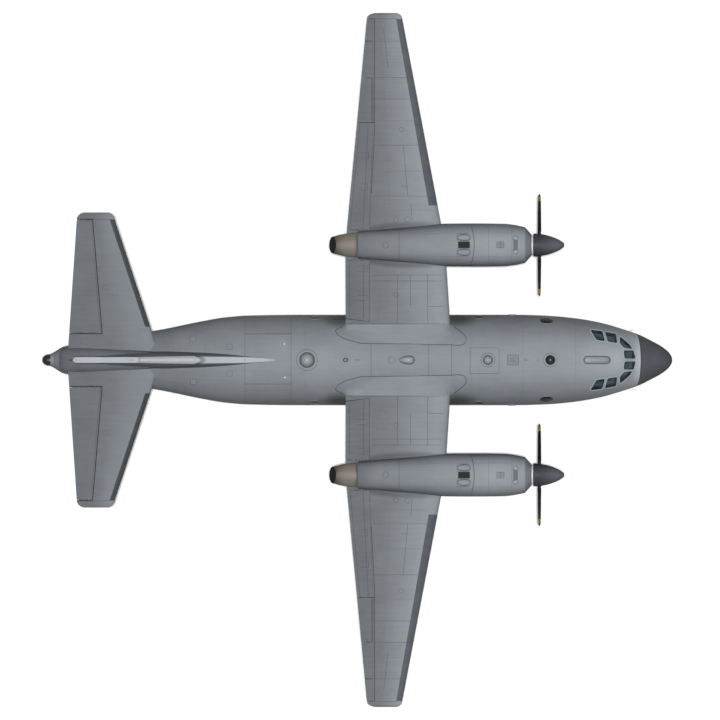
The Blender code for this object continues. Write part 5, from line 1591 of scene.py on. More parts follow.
def make_nose_gear():
    x, r = NOSE_X, NOSE_RADIUS
    parts = [
        smooth(rod("leg", (x, 0, YOKE_TOP_Z + 0.006), (x, 0, 2.2996), 0.1)),
        smooth(rod("brace", (x - 0.02, 0, 1.15), (9.3, 0, 1.7), 0.04)),
        smooth(rod("collar", (x, 0, 1.1), (x, 0, 1.22), 0.14)),
        smooth(rod("gland", (x, 0, YOKE_TOP_Z + 0.006), (x, 0, 1.03), 0.115)),
        smooth(rod("steering_jack", (x - 0.1, -0.13, 1.16), (x - 0.1, 0.13, 1.16), 0.032)),
        bevelled(box("lamp_bracket", (x + 0.09, -0.03, 1.13), (x + 0.17, 0.03, 1.19)), 0.006),
    ]
    placed(wear(joined("nose_gear_leg_casting", parts), GEAR_PAINT), "airframe", "gear_paint",
        "nose_gear_leg")
    lamp = turned("nose_gear_lamp",
        [(0.0, 0.05), (0.03, 0.062), (0.05, 0.066), (0.062, 0.055), (0.068, 0.03), (0.07, 0.001)],
        (x + 0.15, 0, 1.2), (1, 0, -0.1), 40)
    placed(wear(smooth(lamp), LAMP_CLEAR), "airframe", "bare_metal")

    parts = [
        smooth(rod("sleeve", (x, -0.09, r), (x, 0.09, r), 0.085)),
        smooth(rod("lower_casting", (x, 0, r), (x, 0, 0.62), 0.078, 0.07)),
        bevelled(loft("fork_link",
            [[Vector((x + a, b, z)) for a, b in ((-0.17, -w), (-0.05, -w), (-0.05, w), (-0.17, w))] for z,
            w in ((0.5, 0.05), (0.74, 0.024))]), 0.006),
    ]
    placed(wear(joined("nose_gear_yoke_casting", parts), GEAR_PAINT), "nose_gear_yoke", "gear_paint",
        "nose_gear_yoke")
    oleo = smooth(rod("nose_gear_oleo", (x, 0, 0.6), (x, 0, YOKE_TOP_Z), 0.056))
    placed(wear(oleo, POLISHED), "nose_gear_yoke", "bare_metal")
    for side, word in SIDES:
        make_wheel(f"nose_wheel_{word}", (x, side * NOSE_TRACK, r), r, 0.115, 0.17, 0.05, "nose_wheels",
            "nose_wheels" if side > 0 else None)
    axle = smooth(rod("nose_wheel_axle", (x, -NOSE_TRACK - 0.09, r), (x, NOSE_TRACK + 0.09, r), 0.049))
    placed(wear(axle, BARE_METAL), "nose_wheels", "bare_metal")

    x0, x1 = NOSE_WELL[0][0] + 0.02, NOSE_WELL[1][0] - 0.02
    rings = []
    for px in stations(x0, x1, 0.16):
        top = bottom_z(px) + 0.005
        end = min(px - x0, x1 - px)
        foot = 0.8 + 0.09 * (1 - min(end / 0.1, 1.0)) ** 2
        skin = []
        for t, bow in ((0.0, 0.0), (0.35, 0.012), (0.7, 0.01), (1.0, 0.0)):
            z = top + (foot - top) * t
            skin.append((0.372 + 0.088 * t + bow, z))
        rings.append([Vector((px, y, z)) for y, z in skin] + [Vector((px, y + 0.018, z)) for y,
            z in reversed(skin)])
    door = loft("nose_door", rings)
    wear(smooth(door, 40), BODY_PAINT, INTERIOR)
    for face in door.data.polygons:
        face.material_index = 1 if face.normal.y < -0.6 else 0
    pair(door, "nose_gear_door_skin", "grey_paint", "nose_gear_door")
    arms = [smooth(rod("arm", (px, 0.43, 0.9), (px, 0.3, 1.16), 0.012, None, 12)) for px in (9.45, 10.15)]
    pair(wear(joined("door_arms", arms), GEAR_PAINT), "nose_gear_door_arms", "gear_paint")


make_nose_gear()
print("nose wheels at x", round(NOSE_X, 2), "radius", round(NOSE_RADIUS, 3))

# %% [markdown]
# ## Cockpit
# The panes are one curved sheet behind the window holes, and the cockpit shows dimly through it. Seats are
# crowned cushions: a box whose faces swell most in the middle, then subdivided, so it never looks cut.

# %% Glass, seats and panel
def cushion(name, place, size, swell):
    """A crowned pad. swell is how far each pair of faces rises in the middle, as (x, y, z)."""
    bm = bmesh.new()
    bmesh.ops.create_cube(bm, size=2)
    bmesh.ops.subdivide_edges(bm, edges=bm.edges[:], cuts=9, use_grid_fill=True)
    half, swell = Vector(size) / 2, Vector(swell)
    for v in bm.verts:
        at = v.co.copy()
        for k in range(3):
            a, b = at[(k + 1) % 3], at[(k + 2) % 3]
            pull = 1 - 0.1 * (max(abs(a), abs(b)) ** 6)
            v.co[k] = at[k] * (half[k] * pull + swell[k] * (1 - a * a) * (1 - b * b))
    mesh = bpy.data.meshes.new(name)
    bm.to_mesh(mesh)
    bm.free()
    mesh.transform(Matrix.Translation(place))
    pad = new_object(name, mesh)
    step = pad.modifiers.new("round", "SUBSURF")
    step.levels = step.render_levels = 1
    return smooth(applied(pad), 180)


def make_seat(side, word):
    y = side * 0.52
    node = f"pilot_seat_{word}"
    parts = [
        bevelled(box("pan", (9.92, y - 0.21, 2.46), (10.38, y + 0.21, 2.56)), 0.02, 3),
        bevelled(box("shell", (9.785, y - 0.2, 2.5), (9.83, y + 0.2, 3.22)), 0.02, 3),
        *(smooth(rod("column", (9.98 + dx, y + dy, 2.352), (9.98 + dx, y + dy, 2.47), 0.028))
            for dx in (0.0, 0.3) for dy in (-0.15, 0.15)),
        *(bevelled(box("arm", (9.9, y + s * 0.225 - 0.014, 2.86), (10.2, y + s * 0.225 + 0.014, 2.9)),
            0.012, 3) for s in (-1, 1)),
    ]
    placed(wear(joined(f"pilot_seat_{word}_frame", parts), INTERIOR), "airframe", "interior_grey", node)
    for label, place, size, swell, fill in (
        ("base", (10.15, y, 2.63), (0.44, 0.42, 0.13), (0.01, 0.01, 0.025), 0.7),
        ("back", (9.865, y, 2.96), (0.085, 0.4, 0.56), (0.014, 0.01, 0.01), 0.7),
        ("head", (9.86, y, 3.38), (0.08, 0.24, 0.17), (0.012, 0.008, 0.008), 0.8),
    ):
        pad = wear(cushion(f"pilot_{word}_{label}_cushion", place, size, swell), SEAT_CLOTH)
        placed(pad, "airframe", "seat_fabric")


def make_cockpit():
    spread = [math.radians(a) for a in range(-60, 61, 4)]
    rings = []
    for x in stations(9.0, 11.43, 0.09):
        rings.append([leaning_point(x, a, SKIN + 0.025)
            for a in spread] + [leaning_point(x, a, SKIN + 0.045) for a in reversed(spread)])
    placed(wear(smooth(loft("cockpit_panes", rings), 60), GLASS), "airframe", "window_glass",
        "cockpit_glazing")
    for side, word in SIDES:
        make_seat(side, word)
    board = bevelled(box("board", (10.9, -0.78, 2.36), (11.08, 0.78, 3.14)), 0.02, 3)
    hood = bevelled(box("hood", (10.86, -0.76, 3.14), (11.09, 0.76, 3.2)), 0.025, 4)
    pedestal = bevelled(box("pedestal", (10.3, -0.14, 2.36), (10.92, 0.14, 2.72)), 0.03, 3)
    placed(wear(joined("instrument_panel_shell", [board, hood, pedestal]), BLACK_PLASTIC), "airframe",
        "interior_grey", "instrument_panel")
    screens = [bevelled(box("screen", (10.885, y - 0.11, 2.8), (10.905, y + 0.11, 3.04)), 0.006)
        for y in (-0.6, -0.34, 0.0, 0.34, 0.6)]
    placed(wear(joined("instrument_screens", screens), SCREEN), "airframe", "interior_grey")
    parts = []
    for side, _ in SIDES:
        y = side * 0.52
        parts.append(smooth(rod("column", (10.62, y, 2.36), (10.52, y, 2.84), 0.022)))
        parts.append(smooth(rod("grip_bar", (10.51, y - 0.13, 2.86), (10.51, y + 0.13, 2.86), 0.016)))
        parts += [smooth(rod("grip", (10.51, y + s * 0.13, 2.83), (10.48, y + s * 0.14, 2.95), 0.016))
            for s in (-1, 1)]
    placed(wear(joined("control_wheels", parts), BLACK_PLASTIC), "airframe", "interior_grey")
    for node in ("cockpit_floor", "cargo_floor"):
        wear(bpy.data.objects[node], INTERIOR)
    deck = high("cargo_floor").z
    rails = [bevelled(box("rail", (-2.05, y - 0.03, deck - 0.004), (8.6, y + 0.03, deck + 0.012)), 0.004)
        for y in (-1.05, -0.55, 0.55, 1.05)]
    placed(wear(joined("cargo_floor_rails", rails), BARE_METAL), "airframe", "bare_metal")


make_cockpit()
print("cockpit made")

# %% [markdown]
# ## Draping over the skins
# Seams and fittings follow a surface that is curved both ways. A ray dropped on the finished skins finds
# the height under each point, and a ribbon of short closed steps is laid over those heights.

# %% Height of the skins
def tree_of(*names):
    bm = bmesh.new()
    for name in names:
        obj = bpy.data.objects[name]
        mesh = obj.data.copy()
        mesh.transform(obj.matrix_world)
        bm.from_mesh(mesh)
        bpy.data.meshes.remove(mesh)
    tree = BVHTree.FromBMesh(bm)
    bm.free()
    return tree


bpy.context.view_layer.update()
BODY_SKINS = tree_of("radome_shell", "nose_skin", "centre_fuselage_skin", "wing_saddle_skin",
    "rear_fuselage_skin", "tail_cone_skin")
WING_SKINS = tree_of("centre_wing_skin", "outer_wing_skin_left", "outer_wing_skin_right")
NACELLE_SKINS = tree_of("engine_cowling_skin_left", "nacelle_skin_left", "engine_cowling_skin_right",
    "nacelle_skin_right")
TAIL_SKINS = tree_of("tailplane_skin")


def surface_at(tree, x, y, top=12.0):
    """Point and normal under (x, y), or nothing if the ray passes by."""
    place, normal, _, _ = tree.ray_cast(Vector((x, y, top)), Vector((0, 0, -1)))
    return (place, normal) if place else None


def draped(tree, points, width, lift=0.0045, depth=0.004, pitch=0.1, closed=False):
    """A thin closed ribbon along plan points, or several where the surface breaks off."""
    points = [Vector(p) for p in points]
    if closed:
        points.append(points[0])
    line = []
    for a, b in zip(points, points[1:]):
        count = max(1, math.ceil((b - a).length / pitch))
        line += [a.lerp(b, i / count) for i in range(count)]
    line.append(points[-1])
    pieces, rings = [], []
    for i, p in enumerate(line):
        before = line[i - 1] if i else (line[-2] if closed else p)
        after = line[i + 1] if i + 1 < len(line) else (line[1] if closed else p)
        along = (after - before).normalized()
        across = Vector((-along.y, along.x)) * width / 2
        hits = [surface_at(tree, *(p + across * k)) for k in (-1, 1)]
        flat = all(hits) and abs(hits[0][0].z - hits[1][0].z) < 3 * width + 0.02
        if flat:
            (a, na), (b, nb) = hits
            rings.append([a + na * lift, b + nb * lift, b - nb * depth, a - na * depth])
        if (not flat or i + 1 == len(line)) and len(rings) > 1:
            pieces.append(loft("ribbon", rings))
        if not flat:
            rings = []
    return pieces


def lay(name, finish, slot_name, ribbons, body="airframe"):
    if ribbons:
        placed(wear(joined(name, ribbons), finish), body, slot_name)


def circle_points(x, y, radius, count=28):
    return [(x + radius * math.cos(a), y + radius * math.sin(a)) for a in turn_angles(count)]


print("crown height at the wing:", round(surface_at(BODY_SKINS, 2.0, 0.0)[0].z, 3))

# %% [markdown]
# ## Wing root fillets
# Where the wing meets the crown, a sheet-metal fillet smooths the corner. It is a patch drawn over a plan
# outline. Its height is the higher of the wing and the crown, blended so that the corner becomes a curve.

# %% Fillets over the wing roots
FILLET_OUTLINE = [
    (-0.455, 1.468), (-0.8, 1.3), (-0.918, 1.216), (-0.8, 1.02), (-0.496, 0.856), (0.136, 0.687),
        (1.0, 0.672), (2.035, 0.666),
    (3.0, 0.64), (3.891, 0.624), (4.23, 0.604), (4.4, 0.66), (4.487, 0.753), (4.503, 0.918), (4.4, 1.06),
        (4.272, 1.174),
    (4.06, 1.33), (3.85, 1.468),
]


def fillet_limits(x):
    """Inner and outer |y| of the fillet at a station."""
    found = []
    ring = FILLET_OUTLINE
    for a, b in zip(ring, ring[1:] + ring[:1]):
        if (a[0] - x) * (b[0] - x) <= 0 and a[0] != b[0]:
            found.append(a[1] + (b[1] - a[1]) * (x - a[0]) / (b[0] - a[0]))
    return min(found), max(found)


def wing_top(x, y):
    """The wing's upper surface, carried on past its edges so that the fillet can meet the crown."""
    leading, trailing, height, _ = WING.station(y)
    inside = min(max(x, trailing + 0.02), leading - 0.02)
    return height + WING.offset(y, inside, 1) - 0.9 * abs(x - inside)


def make_fillets():
    xs = [-0.918 + 0.004, *stations(-0.89, -0.46, 0.05), *stations(-0.4, 3.85, 0.12),
        *stations(3.9, 4.48, 0.05), 4.499]
    steps = 20
    rings = []
    for x in xs:
        inner, outer = fillet_limits(x)
        top_row = []
        for i in range(steps + 1):
            t = i / steps
            y = inner + (outer - inner) * t
            share = min(abs(y) / half_width(x), 0.999)
            crown = mid_z(x) + (top_z(x) - mid_z(x)) * math.sqrt(1 - share * share)
            wing = wing_top(x, y)
            k = 0.3 * t * (1 - t) * 4 * 0.5 + 0.02
            h = max(k - abs(crown - wing), 0.0) / k
            z = max(crown, wing) + h * h * k * 0.25 + 0.003
            top_row.append(Vector((x, y, z)))
        base = min(p.z for p in top_row) - 0.12
        rings.append(top_row + [Vector((x, p.y, base)) for p in reversed(top_row)])
    fillet = loft("fillet", rings)
    wear(smooth(fillet, 40), BODY_PAINT)
    return pair(fillet, "wing_root_fillet", "grey_paint")


make_fillets()
CROWN = tree_of(
    "radome_shell", "nose_skin", "centre_fuselage_skin", "wing_saddle_skin", "rear_fuselage_skin",
        "tail_cone_skin",
    "wing_root_fillet_left", "wing_root_fillet_right", "dorsal_fin_skin",
)
print("wing root fillets made")

# %% [markdown]
# ## Domes, hatches and round windows
# Aerial domes and lamps are turned profiles set into the skin, and long blisters are lofts of half ellipses.
# Round windows sit on the flanks, so they are placed by their angle about the fuselage, facing outwards.

# %% Fittings on the fuselage
def dome(name, x, y, radius, height, finish, tree=CROWN, ring=None, sides=56):
    base = surface_at(tree, x, y)[0].z
    profile = [(-0.06, radius)] + [(height * math.sin(a), max(radius * math.cos(a), 0.001))
        for a in (math.pi / 2 * i / 10 for i in range(11))]
    placed(wear(smooth(turned(name, profile, (x, y, base), (0, 0, 1), sides), 50), finish), "airframe",
        "dark_paint")
    # A dark ribbon round the foot: painted shade where the dome meets the skin.
    if ring:
        lay(f"{name}_flange_line", SEAM, "dark_paint",
            draped(tree, circle_points(x, y, ring), 0.014, closed=True))


def blister(name, outline, finish, sink=0.1, tree=CROWN, y=0.0, edge=0.016):
    """outline is (x, half width, height above the skin)."""
    lines = [smooth_line([(s[0], s[k]) for s in outline], 40.0) for k in (1, 2)]
    rings = []
    for x in stations(outline[0][0], outline[-1][0], abs(outline[-1][0] - outline[0][0]) / 26):
        hit = surface_at(tree, x, y)
        w, h = max(lines[0](x), 0.004), max(lines[1](x), 0.002)
        ring = [Vector((x, y + w * math.cos(a), hit[0].z + h * math.sin(a)))
            for a in (math.pi * i / 18 for i in range(19))]
        rings.append(ring + [Vector((x, y - w, hit[0].z - sink)), Vector((x, y + w, hit[0].z - sink))])
    placed(wear(smooth(loft(name, rings), 50), finish), "airframe", "grey_paint")
    if edge:
        foot = [(x, y + sign * max(lines[0](x), 0.004)) for sign,
            run in ((1, rings), (-1, rings[::-1])) for x in (r[0].x for r in run)]
        lay(f"{name}_foot_line", DARK_GAP, "dark_paint", draped(tree, foot, edge, closed=True, pitch=0.05))


def plate_on(name, x0, x1, y0, y1, finish, tree=CROWN, lift=0.002, slot_name="grey_paint"):
    """A thin plate that follows the skin."""
    rings = []
    for x in stations(x0, x1, abs(x1 - x0) / 6):
        row = [surface_at(tree, x, y0 + (y1 - y0) * i / 6) for i in range(7)]
        if not all(row):
            return
        rings.append([p + n * lift for p, n in row] + [p - n * 0.01 for p, n in reversed(row)])
    placed(wear(smooth(loft(name, rings), 40), finish), "airframe", slot_name)


def frame_line(x0, x1, y0, y1):
    return [(x0, y0), (x1, y0), (x1, y1), (x0, y1)]


def round_window(name, x, angle, radius, bulge, finish=None):
    place = body_point(x, angle)
    step = 0.01
    normal = (body_point(x, angle + step) - place).cross(body_point(x - step, angle) - place)
    if normal.dot(Vector((0, math.sin(angle), math.cos(angle)))) < 0:
        normal = -normal
    normal.normalize()
    pane = [(-0.05, radius)] + [(0.004 + bulge * math.sin(a), max(radius * math.cos(a), 0.001))
        for a in (math.pi / 2 * i / 8 for i in range(9))]
    placed(wear(smooth(turned(name, pane, place, normal, 48), 50), finish or GLASS_DARK), "airframe",
        "window_glass")
    rim = [(-0.05, radius + 0.035), (0.008, radius + 0.035), (0.016, radius + 0.02),
        (0.016, radius + 0.004), (-0.05, radius)]
    placed(wear(smooth(turned(f"{name}_rim", rim, place, normal, 48, True), 40), HATCH_PAINT), "airframe",
        "grey_paint")


GLASS_DARK = plain("round_window_glass", (0.008, 0.01, 0.011), 0.25, level=0.25, speckle=0.15, scale=4.0)
WINDOW_RIM = plain("window_frame_paint", (0.34, 0.36, 0.37), 0.5, level=0.15)

blister("crown_hump", [(10.463, 0.02, 0.004), (10.43, 0.1, 0.05), (10.34, 0.15, 0.085), (10.1, 0.163, 0.1),
    (9.6, 0.163, 0.1), (9.43, 0.15, 0.085), (9.354, 0.05, 0.01)], DOME_GREY)
dome("forward_black_dome", 7.969, 0.0, 0.207, 0.17, DOME_DARK, ring=0.289)
dome("second_dome", 5.393, 0.0, 0.203, 0.17, DOME_GREY, ring=0.289)
dome("rear_radar_dome", -2.084, 0.0, 0.3226, 0.27, DOME_GREY, ring=0.434)
blister("spine_teardrop",
    [(2.357, 0.02, 0.004), (2.33, 0.1, 0.05), (2.24, 0.16, 0.1), (2.12, 0.176, 0.12), (1.95, 0.15, 0.1),
    (1.8, 0.09, 0.05), (1.716, 0.02, 0.004)], DOME_GREY)
blister("small_spine_aerial",
    [(-0.393, 0.02, 0.01), (-0.43, 0.07, 0.06), (-0.5, 0.0825, 0.1), (-0.56, 0.07, 0.07),
    (-0.6, 0.02, 0.01)], DOME_GREY)
plate_on("roof_hatch", 6.203, 6.658, -0.207, 0.207, HATCH_PAINT)
for x in (-0.1, -0.02, 0.06):
    dome(f"spine_stud_{round(x * 100) + 10}", x, 0.0, 0.022, 0.012, DOME_DARK, sides=20)
for i, (x, y) in enumerate(((-6.803, 0.877), (-5.289, 0.546), (-5.289, -0.554), (-6.79, -0.9015))):
    plate_on(f"square_hatch_{i + 1}", x - 0.112, x + 0.112, y - 0.112, y + 0.112, HATCH_PAINT)
for i, (x, y) in enumerate(((-3.023, 0.662), (-3.002, -0.72))):
    dome(f"white_stud_{i + 1}", x, y, 0.045, 0.02, PALE_MARK, sides=24)
for side, word in SIDES:
    round_window(f"bubble_window_{word}", 7.82, side * math.asin(1.625 / half_width(7.82)), 0.26, 0.07)
    round_window(f"shoulder_window_front_{word}", 5.016, side * math.asin(1.778 / half_width(5.0)), 0.185,
        0.03)
    round_window(f"shoulder_window_rear_{word}", -1.76, side * math.asin(1.76 / half_width(-1.76)), 0.185,
        0.03)
    for i, x in enumerate((6.4, 3.6, 2.4, 1.2, 0.0)):
        round_window(f"cabin_window_{i + 1}_{word}", x, side * math.radians(82), 0.15, 0.012)
    probe = [
        smooth(rod("mast", (11.3, side * (half_width(11.3) - 0.02), 2.42),
            (11.36, side * (half_width(11.3) + 0.05), 2.42), 0.018)),
        smooth(rod("tube", (11.34, side * (half_width(11.3) + 0.05), 2.42),
            (11.62, side * (half_width(11.3) + 0.05), 2.42), 0.014, 0.01)),
    ]
    placed(wear(joined(f"pitot_probe_{word}", probe), BARE_METAL), "airframe", "bare_metal")

# %% [markdown]
# ## Ice boots and leading edges
# Black rubber boots cover the leading edges of the outer wings and the tailplane. Each is the surface's own
# nose section, grown by four millimetres, so it follows the taper exactly. The fin has a strip instead,
# painted pale as a highlight.

# %% Boots
BOOT_THICKNESS = 0.004


def boot(name, surface, spans, depth, slot_name="dark_paint", finish=BOOT_RUBBER, upright=False):
    """depth(span) is how far back the boot reaches from the leading edge."""
    rings = []
    for span in spans:
        leading, trailing, _, _ = surface.station(span)
        chord = leading - trailing
        outer, inner = [], []
        share = depth(span) / chord
        cuts = [share * (1 - math.cos(math.pi / 2 * i / 10)) for i in range(11)]
        for sign, order in ((1, cuts[::-1]), (-1, cuts[1:])):
            for u in order:
                x = leading - u * chord
                for found, g in ((outer, BOOT_THICKNESS), (inner, -BOOT_THICKNESS)):
                    ahead, out = g * (1 - min(u / 0.03, 1.0)), sign * g if u else 0.0
                    shift = Vector((ahead, out, 0) if upright else (ahead, 0, out))
                    found.append(surface.place(span, x, surface.offset(span, x, sign)) + shift)
        rings.append(outer + inner[::-1])
    piece = loft(name, rings)
    chord_uv(piece, surface)
    wear(smooth(piece, 50), finish)
    if not upright:
        return pair(piece, name, slot_name)
    return placed(piece, "airframe", slot_name)


def wing_boot_depth(y):
    leading = WING.station(y)[0]
    rear = 2.944 + (1.592 - 2.944) * (y - 6.393) / (14.13 - 6.393)
    return max(leading - rear, 0.05)


boot("wing_ice_boot", WING, stations(6.39, 14.1, 0.4), wing_boot_depth)
boot("tail_ice_boot", TAILPLANE, stations(1.377, 5.8, 0.4), lambda y: 0.2, finish=TAIL_BOOT)
boot("fin_leading_edge", FIN, stations(5.65, 9.42, 0.3), lambda z: 0.24, upright=True,
    slot_name="tail_paint", finish=FIN_EDGE_HIGHLIGHT_PAINT)
print("boots fitted")

# %% [markdown]
# ## Panel lines
# Seams are the smallest detail that still reads at a distance, so they are real ribbons and not texture.
# Most are 11 to 16 mm wide. The gaps round moving surfaces are darker and up to 36 mm wide.

# %% Seams of the fuselage
def across_body(x, half=None):
    half = (half_width(x) - 0.03) if half is None else half
    return draped(CROWN, [(x, -half), (x, half)], 0.014)


lines = []
for x in (-4.652, -2.75):
    lines += across_body(x)
for x in (0.558, 2.924, 3.891):
    lines += across_body(x, 0.68)
for y in (1.083, -0.9925):
    lines += draped(CROWN, [(-4.652, y), (-2.75, y)], 0.014)
lines += draped(CROWN, frame_line(4.652, 5.852, -0.558, 0.505), 0.012, closed=True)
lines += draped(CROWN, frame_line(6.203, 6.658, -0.207, 0.207), 0.016, closed=True)
lines += draped(CROWN, [(6.33, -0.09), (6.33, 0.09), (6.52, 0.0)], 0.012, closed=True)
lines += draped(CROWN, circle_points(1.427, 0.0, 0.14), 0.012, closed=True)
for x, y in ((-6.803, 0.877), (-5.289, 0.546), (-5.289, -0.554), (-6.79, -0.9015)):
    lines += draped(CROWN, frame_line(x - 0.112, x + 0.112, y - 0.112, y + 0.112), 0.012, closed=True)
lay("fuselage_seams", SEAM, "dark_paint", lines)
faint = []
for x in (-7.6, -6.3, 4.694, 6.85, 9.02):
    faint += draped(CROWN, [(x, -half_width(x) + 0.03), (x, half_width(x) - 0.03)], 0.008)
for side, _ in SIDES:
    faint += draped(CROWN, frame_line(5.107, 5.231, side * 1.24 - 0.05, side * 1.24 + 0.05), 0.016,
        closed=True)
    faint += draped(CROWN, frame_line(6.74, 6.83, side * 1.6 - 0.03, side * 1.6 + 0.03), 0.016, closed=True)
faint += draped(CROWN, frame_line(7.42, 7.5, -0.05, 0.05), 0.014, closed=True)
lay("fuselage_faint_seams", FAINT_SEAM, "grey_paint", faint)
edges = []
for side, _ in SIDES:
    edges += draped(CROWN, both_sides(FILLET_OUTLINE, side), 0.024, lift=0.01, pitch=0.06)
lay("fillet_edges", SEAM, "dark_paint", edges)
lay("radome_joint_line", DARK_GAP, "dark_paint",
    [loft("ribbon", [body_ring(x, i) for x,
        i in ((11.54, -0.0025), (11.562, -0.0025), (11.562, 0.004), (11.54, 0.004))], True)])
print("fuselage seams laid")

# %% [markdown]
# ## Window frames
# Each pane sits in a pale frame with a dark sealing strip just inside it. Both are ribbons along the same
# rounded outline as the window holes, pushed a little outwards or inwards.

# %% Frames of the cockpit windows
def grown(outline, by):
    """A convex plan outline pushed outwards."""
    middle = Vector((sum(p[0] for p in outline) / len(outline), sum(p[1] for p in outline) / len(outline)))
    found = []
    for i, p in enumerate(outline):
        before, after = Vector(outline[i - 1]), Vector(outline[(i + 1) % len(outline)])
        along = (after - before).normalized()
        out = Vector((along.y, -along.x))
        if out.dot(Vector(p) - middle) < 0:
            out = -out
        found.append(tuple(Vector(p) + out * by))
    return found


NOSE_SKIN = tree_of("nose_skin", "radome_shell")
pale, dark = [], []
for outline in WINDOW_OUTLINES.values():
    for side, _ in SIDES:
        edge = both_sides(rounded(outline), side)
        pale += draped(NOSE_SKIN, grown(edge, 0.03), 0.03, lift=0.005, pitch=0.05, closed=True)
        dark += draped(NOSE_SKIN, grown(edge, 0.008), 0.012, lift=0.004, pitch=0.05, closed=True)
lay("cockpit_window_frames", WINDOW_RIM, "grey_paint", pale)
lay("cockpit_window_seals", DARK_GAP, "dark_paint", dark)
wipers = []
for side, _ in SIDES:
    for a, b in (((11.47, 0.2), (11.16, 0.29)),):
        points = [surface_at(NOSE_SKIN, a[0], side * a[1]), surface_at(NOSE_SKIN, b[0], side * b[1])]
        if all(points):
            start = points[0][0] + points[0][1] * 0.02
            end = Vector((b[0], side * b[1],
                start.z + (points[1][0].z - points[0][0].z if points[1] else 0)))
            wipers.append(smooth(rod("wiper", start, end + Vector((0, 0, 0.03)), 0.01)))
if wipers:
    placed(wear(joined("windscreen_wipers", wipers), BLACK_PLASTIC), "airframe", "dark_paint")
print("window frames laid:", len(pale), len(dark))

# %% [markdown]
# ## Wing lines
# Skin joints run along the spar and across at the ribs. Filler caps, fittings and the heavy joint between
# flap and aileron break them up. Lines on a flap or an aileron ride with it, so they move when it does.

# %% Seams of the wings and nacelles
def both_wings(points, width, tree=None):
    return [r for side, _ in SIDES
        for r in draped(tree or WING_SKINS, both_sides(points, side), width, pitch=0.25)]


def wing_leading(y):
    return WING.station(y)[0] - 0.03


def trailing_of(item, y):
    return hinge_x(item, y) + 0.06


lines = []
for points in (
    [(1.89, 8.899), (2.076, 6.774)], [(2.204, 6.459), (2.258, 5.76)], [(1.079, 13.667), (1.261, 12.079)],
    [(2.188, 2.208), (2.188, 3.515)], [(1.654, 1.52), (1.654, 3.55)], [(2.903, 1.52), (2.903, 3.55)],
    [(3.743, 2.208), (2.903, 2.208)], [(3.7, 3.267), (0.62, 3.267)], [(3.66, 3.515), (0.62, 3.515)],
    [(2.1, 7.183), (1.8, 7.183)], [(-0.42, 1.495), (3.84, 1.495)],
        [(LEADING_TIP_X - 0.02, 14.12), (TRAILING_TIP_X + 0.04, 14.12)],
):
    lines += both_wings(points, 0.014)
for y in (11.674, 10.793, 8.879, 6.774, 13.182):
    lines += both_wings([(wing_leading(y), y),
        (trailing_of(AILERON if y > 9.8 else FLAP_OUTER, y) + 0.04, y)], 0.013)
for x, y, r in ((1.815, 9.528, 0.095), (1.6, 5.798, 0.112), (2.068, 5.806, 0.112), (2.188, 11.674, 0.03),
    (1.6, 2.7, 0.1)):
    lines += [q for side, _ in SIDES
        for q in draped(WING_SKINS, circle_points(x, side * y, r, 20), 0.012, closed=True)]
lay("wing_seams", SEAM, "dark_paint", lines)
faint = []
for y in (6.2, 7.8, 9.9, 12.3, 12.9, 13.6):
    faint += both_wings([(wing_leading(y) - 0.35, y),
        (trailing_of(AILERON if y > 9.8 else FLAP_OUTER, y) + 0.04, y)], 0.011)
faint += both_wings([(1.35, 5.85), (0.98, 13.9)], 0.011) + both_wings([(0.88, 1.55), (0.88, 3.58)], 0.011)
lay("wing_faint_seams", FAINT_SEAM, "wing_paint", faint)
heavy = both_wings([(0.5, ENGINE_Y + 0.68), (0.72, 9.79)], 0.016) + both_wings([(0.7, 9.83), (0.7, 14.09)],
    0.02)
heavy += both_wings([(0.5, 1.6), (0.5, ENGINE_Y - 0.6)], 0.02) + both_wings([(0.14, 9.81), (0.69, 9.81)],
    0.022)
lay("wing_gap_lips", DARK_GAP, "dark_paint", heavy)

engines, quiet = [], []
for side, word in SIDES:
    def at(points):
        return [(x, side * (ENGINE_Y + dy)) for x, dy in points]
    joint = []
    for i in range(-14, 15):
        s = i / 14 * 0.97
        ring_x = COWL_JOINT_X - 0.16 * s * s
        joint.append((ring_x, nacelle_shape(ring_x)[0] * s))
    engines += draped(NACELLE_SKINS, at(joint), 0.026)
    for x, found in ((1.716, engines), (5.421, quiet), (6.377, quiet)):
        w = nacelle_shape(x)[0] - 0.03
        found += draped(NACELLE_SKINS, at([(x, -w), (x, w)]), 0.014)
    for dy in (-0.496, 0.496):
        quiet += draped(NACELLE_SKINS, at([(4.76, dy), (6.377, dy)]), 0.01)
        quiet += draped(NACELLE_SKINS, at([(1.75, dy * 0.9), (4.6, dy)]), 0.008)
    engines += draped(NACELLE_SKINS, circle_points(1.162, side * ENGINE_Y - 0.013 * side, 0.124), 0.016,
        closed=True)
    engines += draped(NACELLE_SKINS, at(frame_line(5.752, 6.058, -0.124, 0.124)), 0.014, closed=True)
    engines += draped(NACELLE_SKINS, at([(5.905, -0.124), (5.905, 0.124)]), 0.012)
    for sign in (-1, 1):
        engines += draped(NACELLE_SKINS, at(frame_line(4.115, 4.6, sign * 0.145, sign * 0.455)), 0.013,
            closed=True)
lay("nacelle_seams", SEAM, "dark_paint", engines)
lay("nacelle_faint_seams", FAINT_SEAM, "grey_paint", quiet)
print("wing and nacelle seams laid")

# %% [markdown]
# ## Fittings on the nacelles and the tail
# Vents and blisters on the engines are small lofts over the cowling. The slot between the two blisters is
# the oil cooler's exit, so it is a dark plate, painted shade for the inside of the slot. Lamps finish the
# wing tips and the tail.

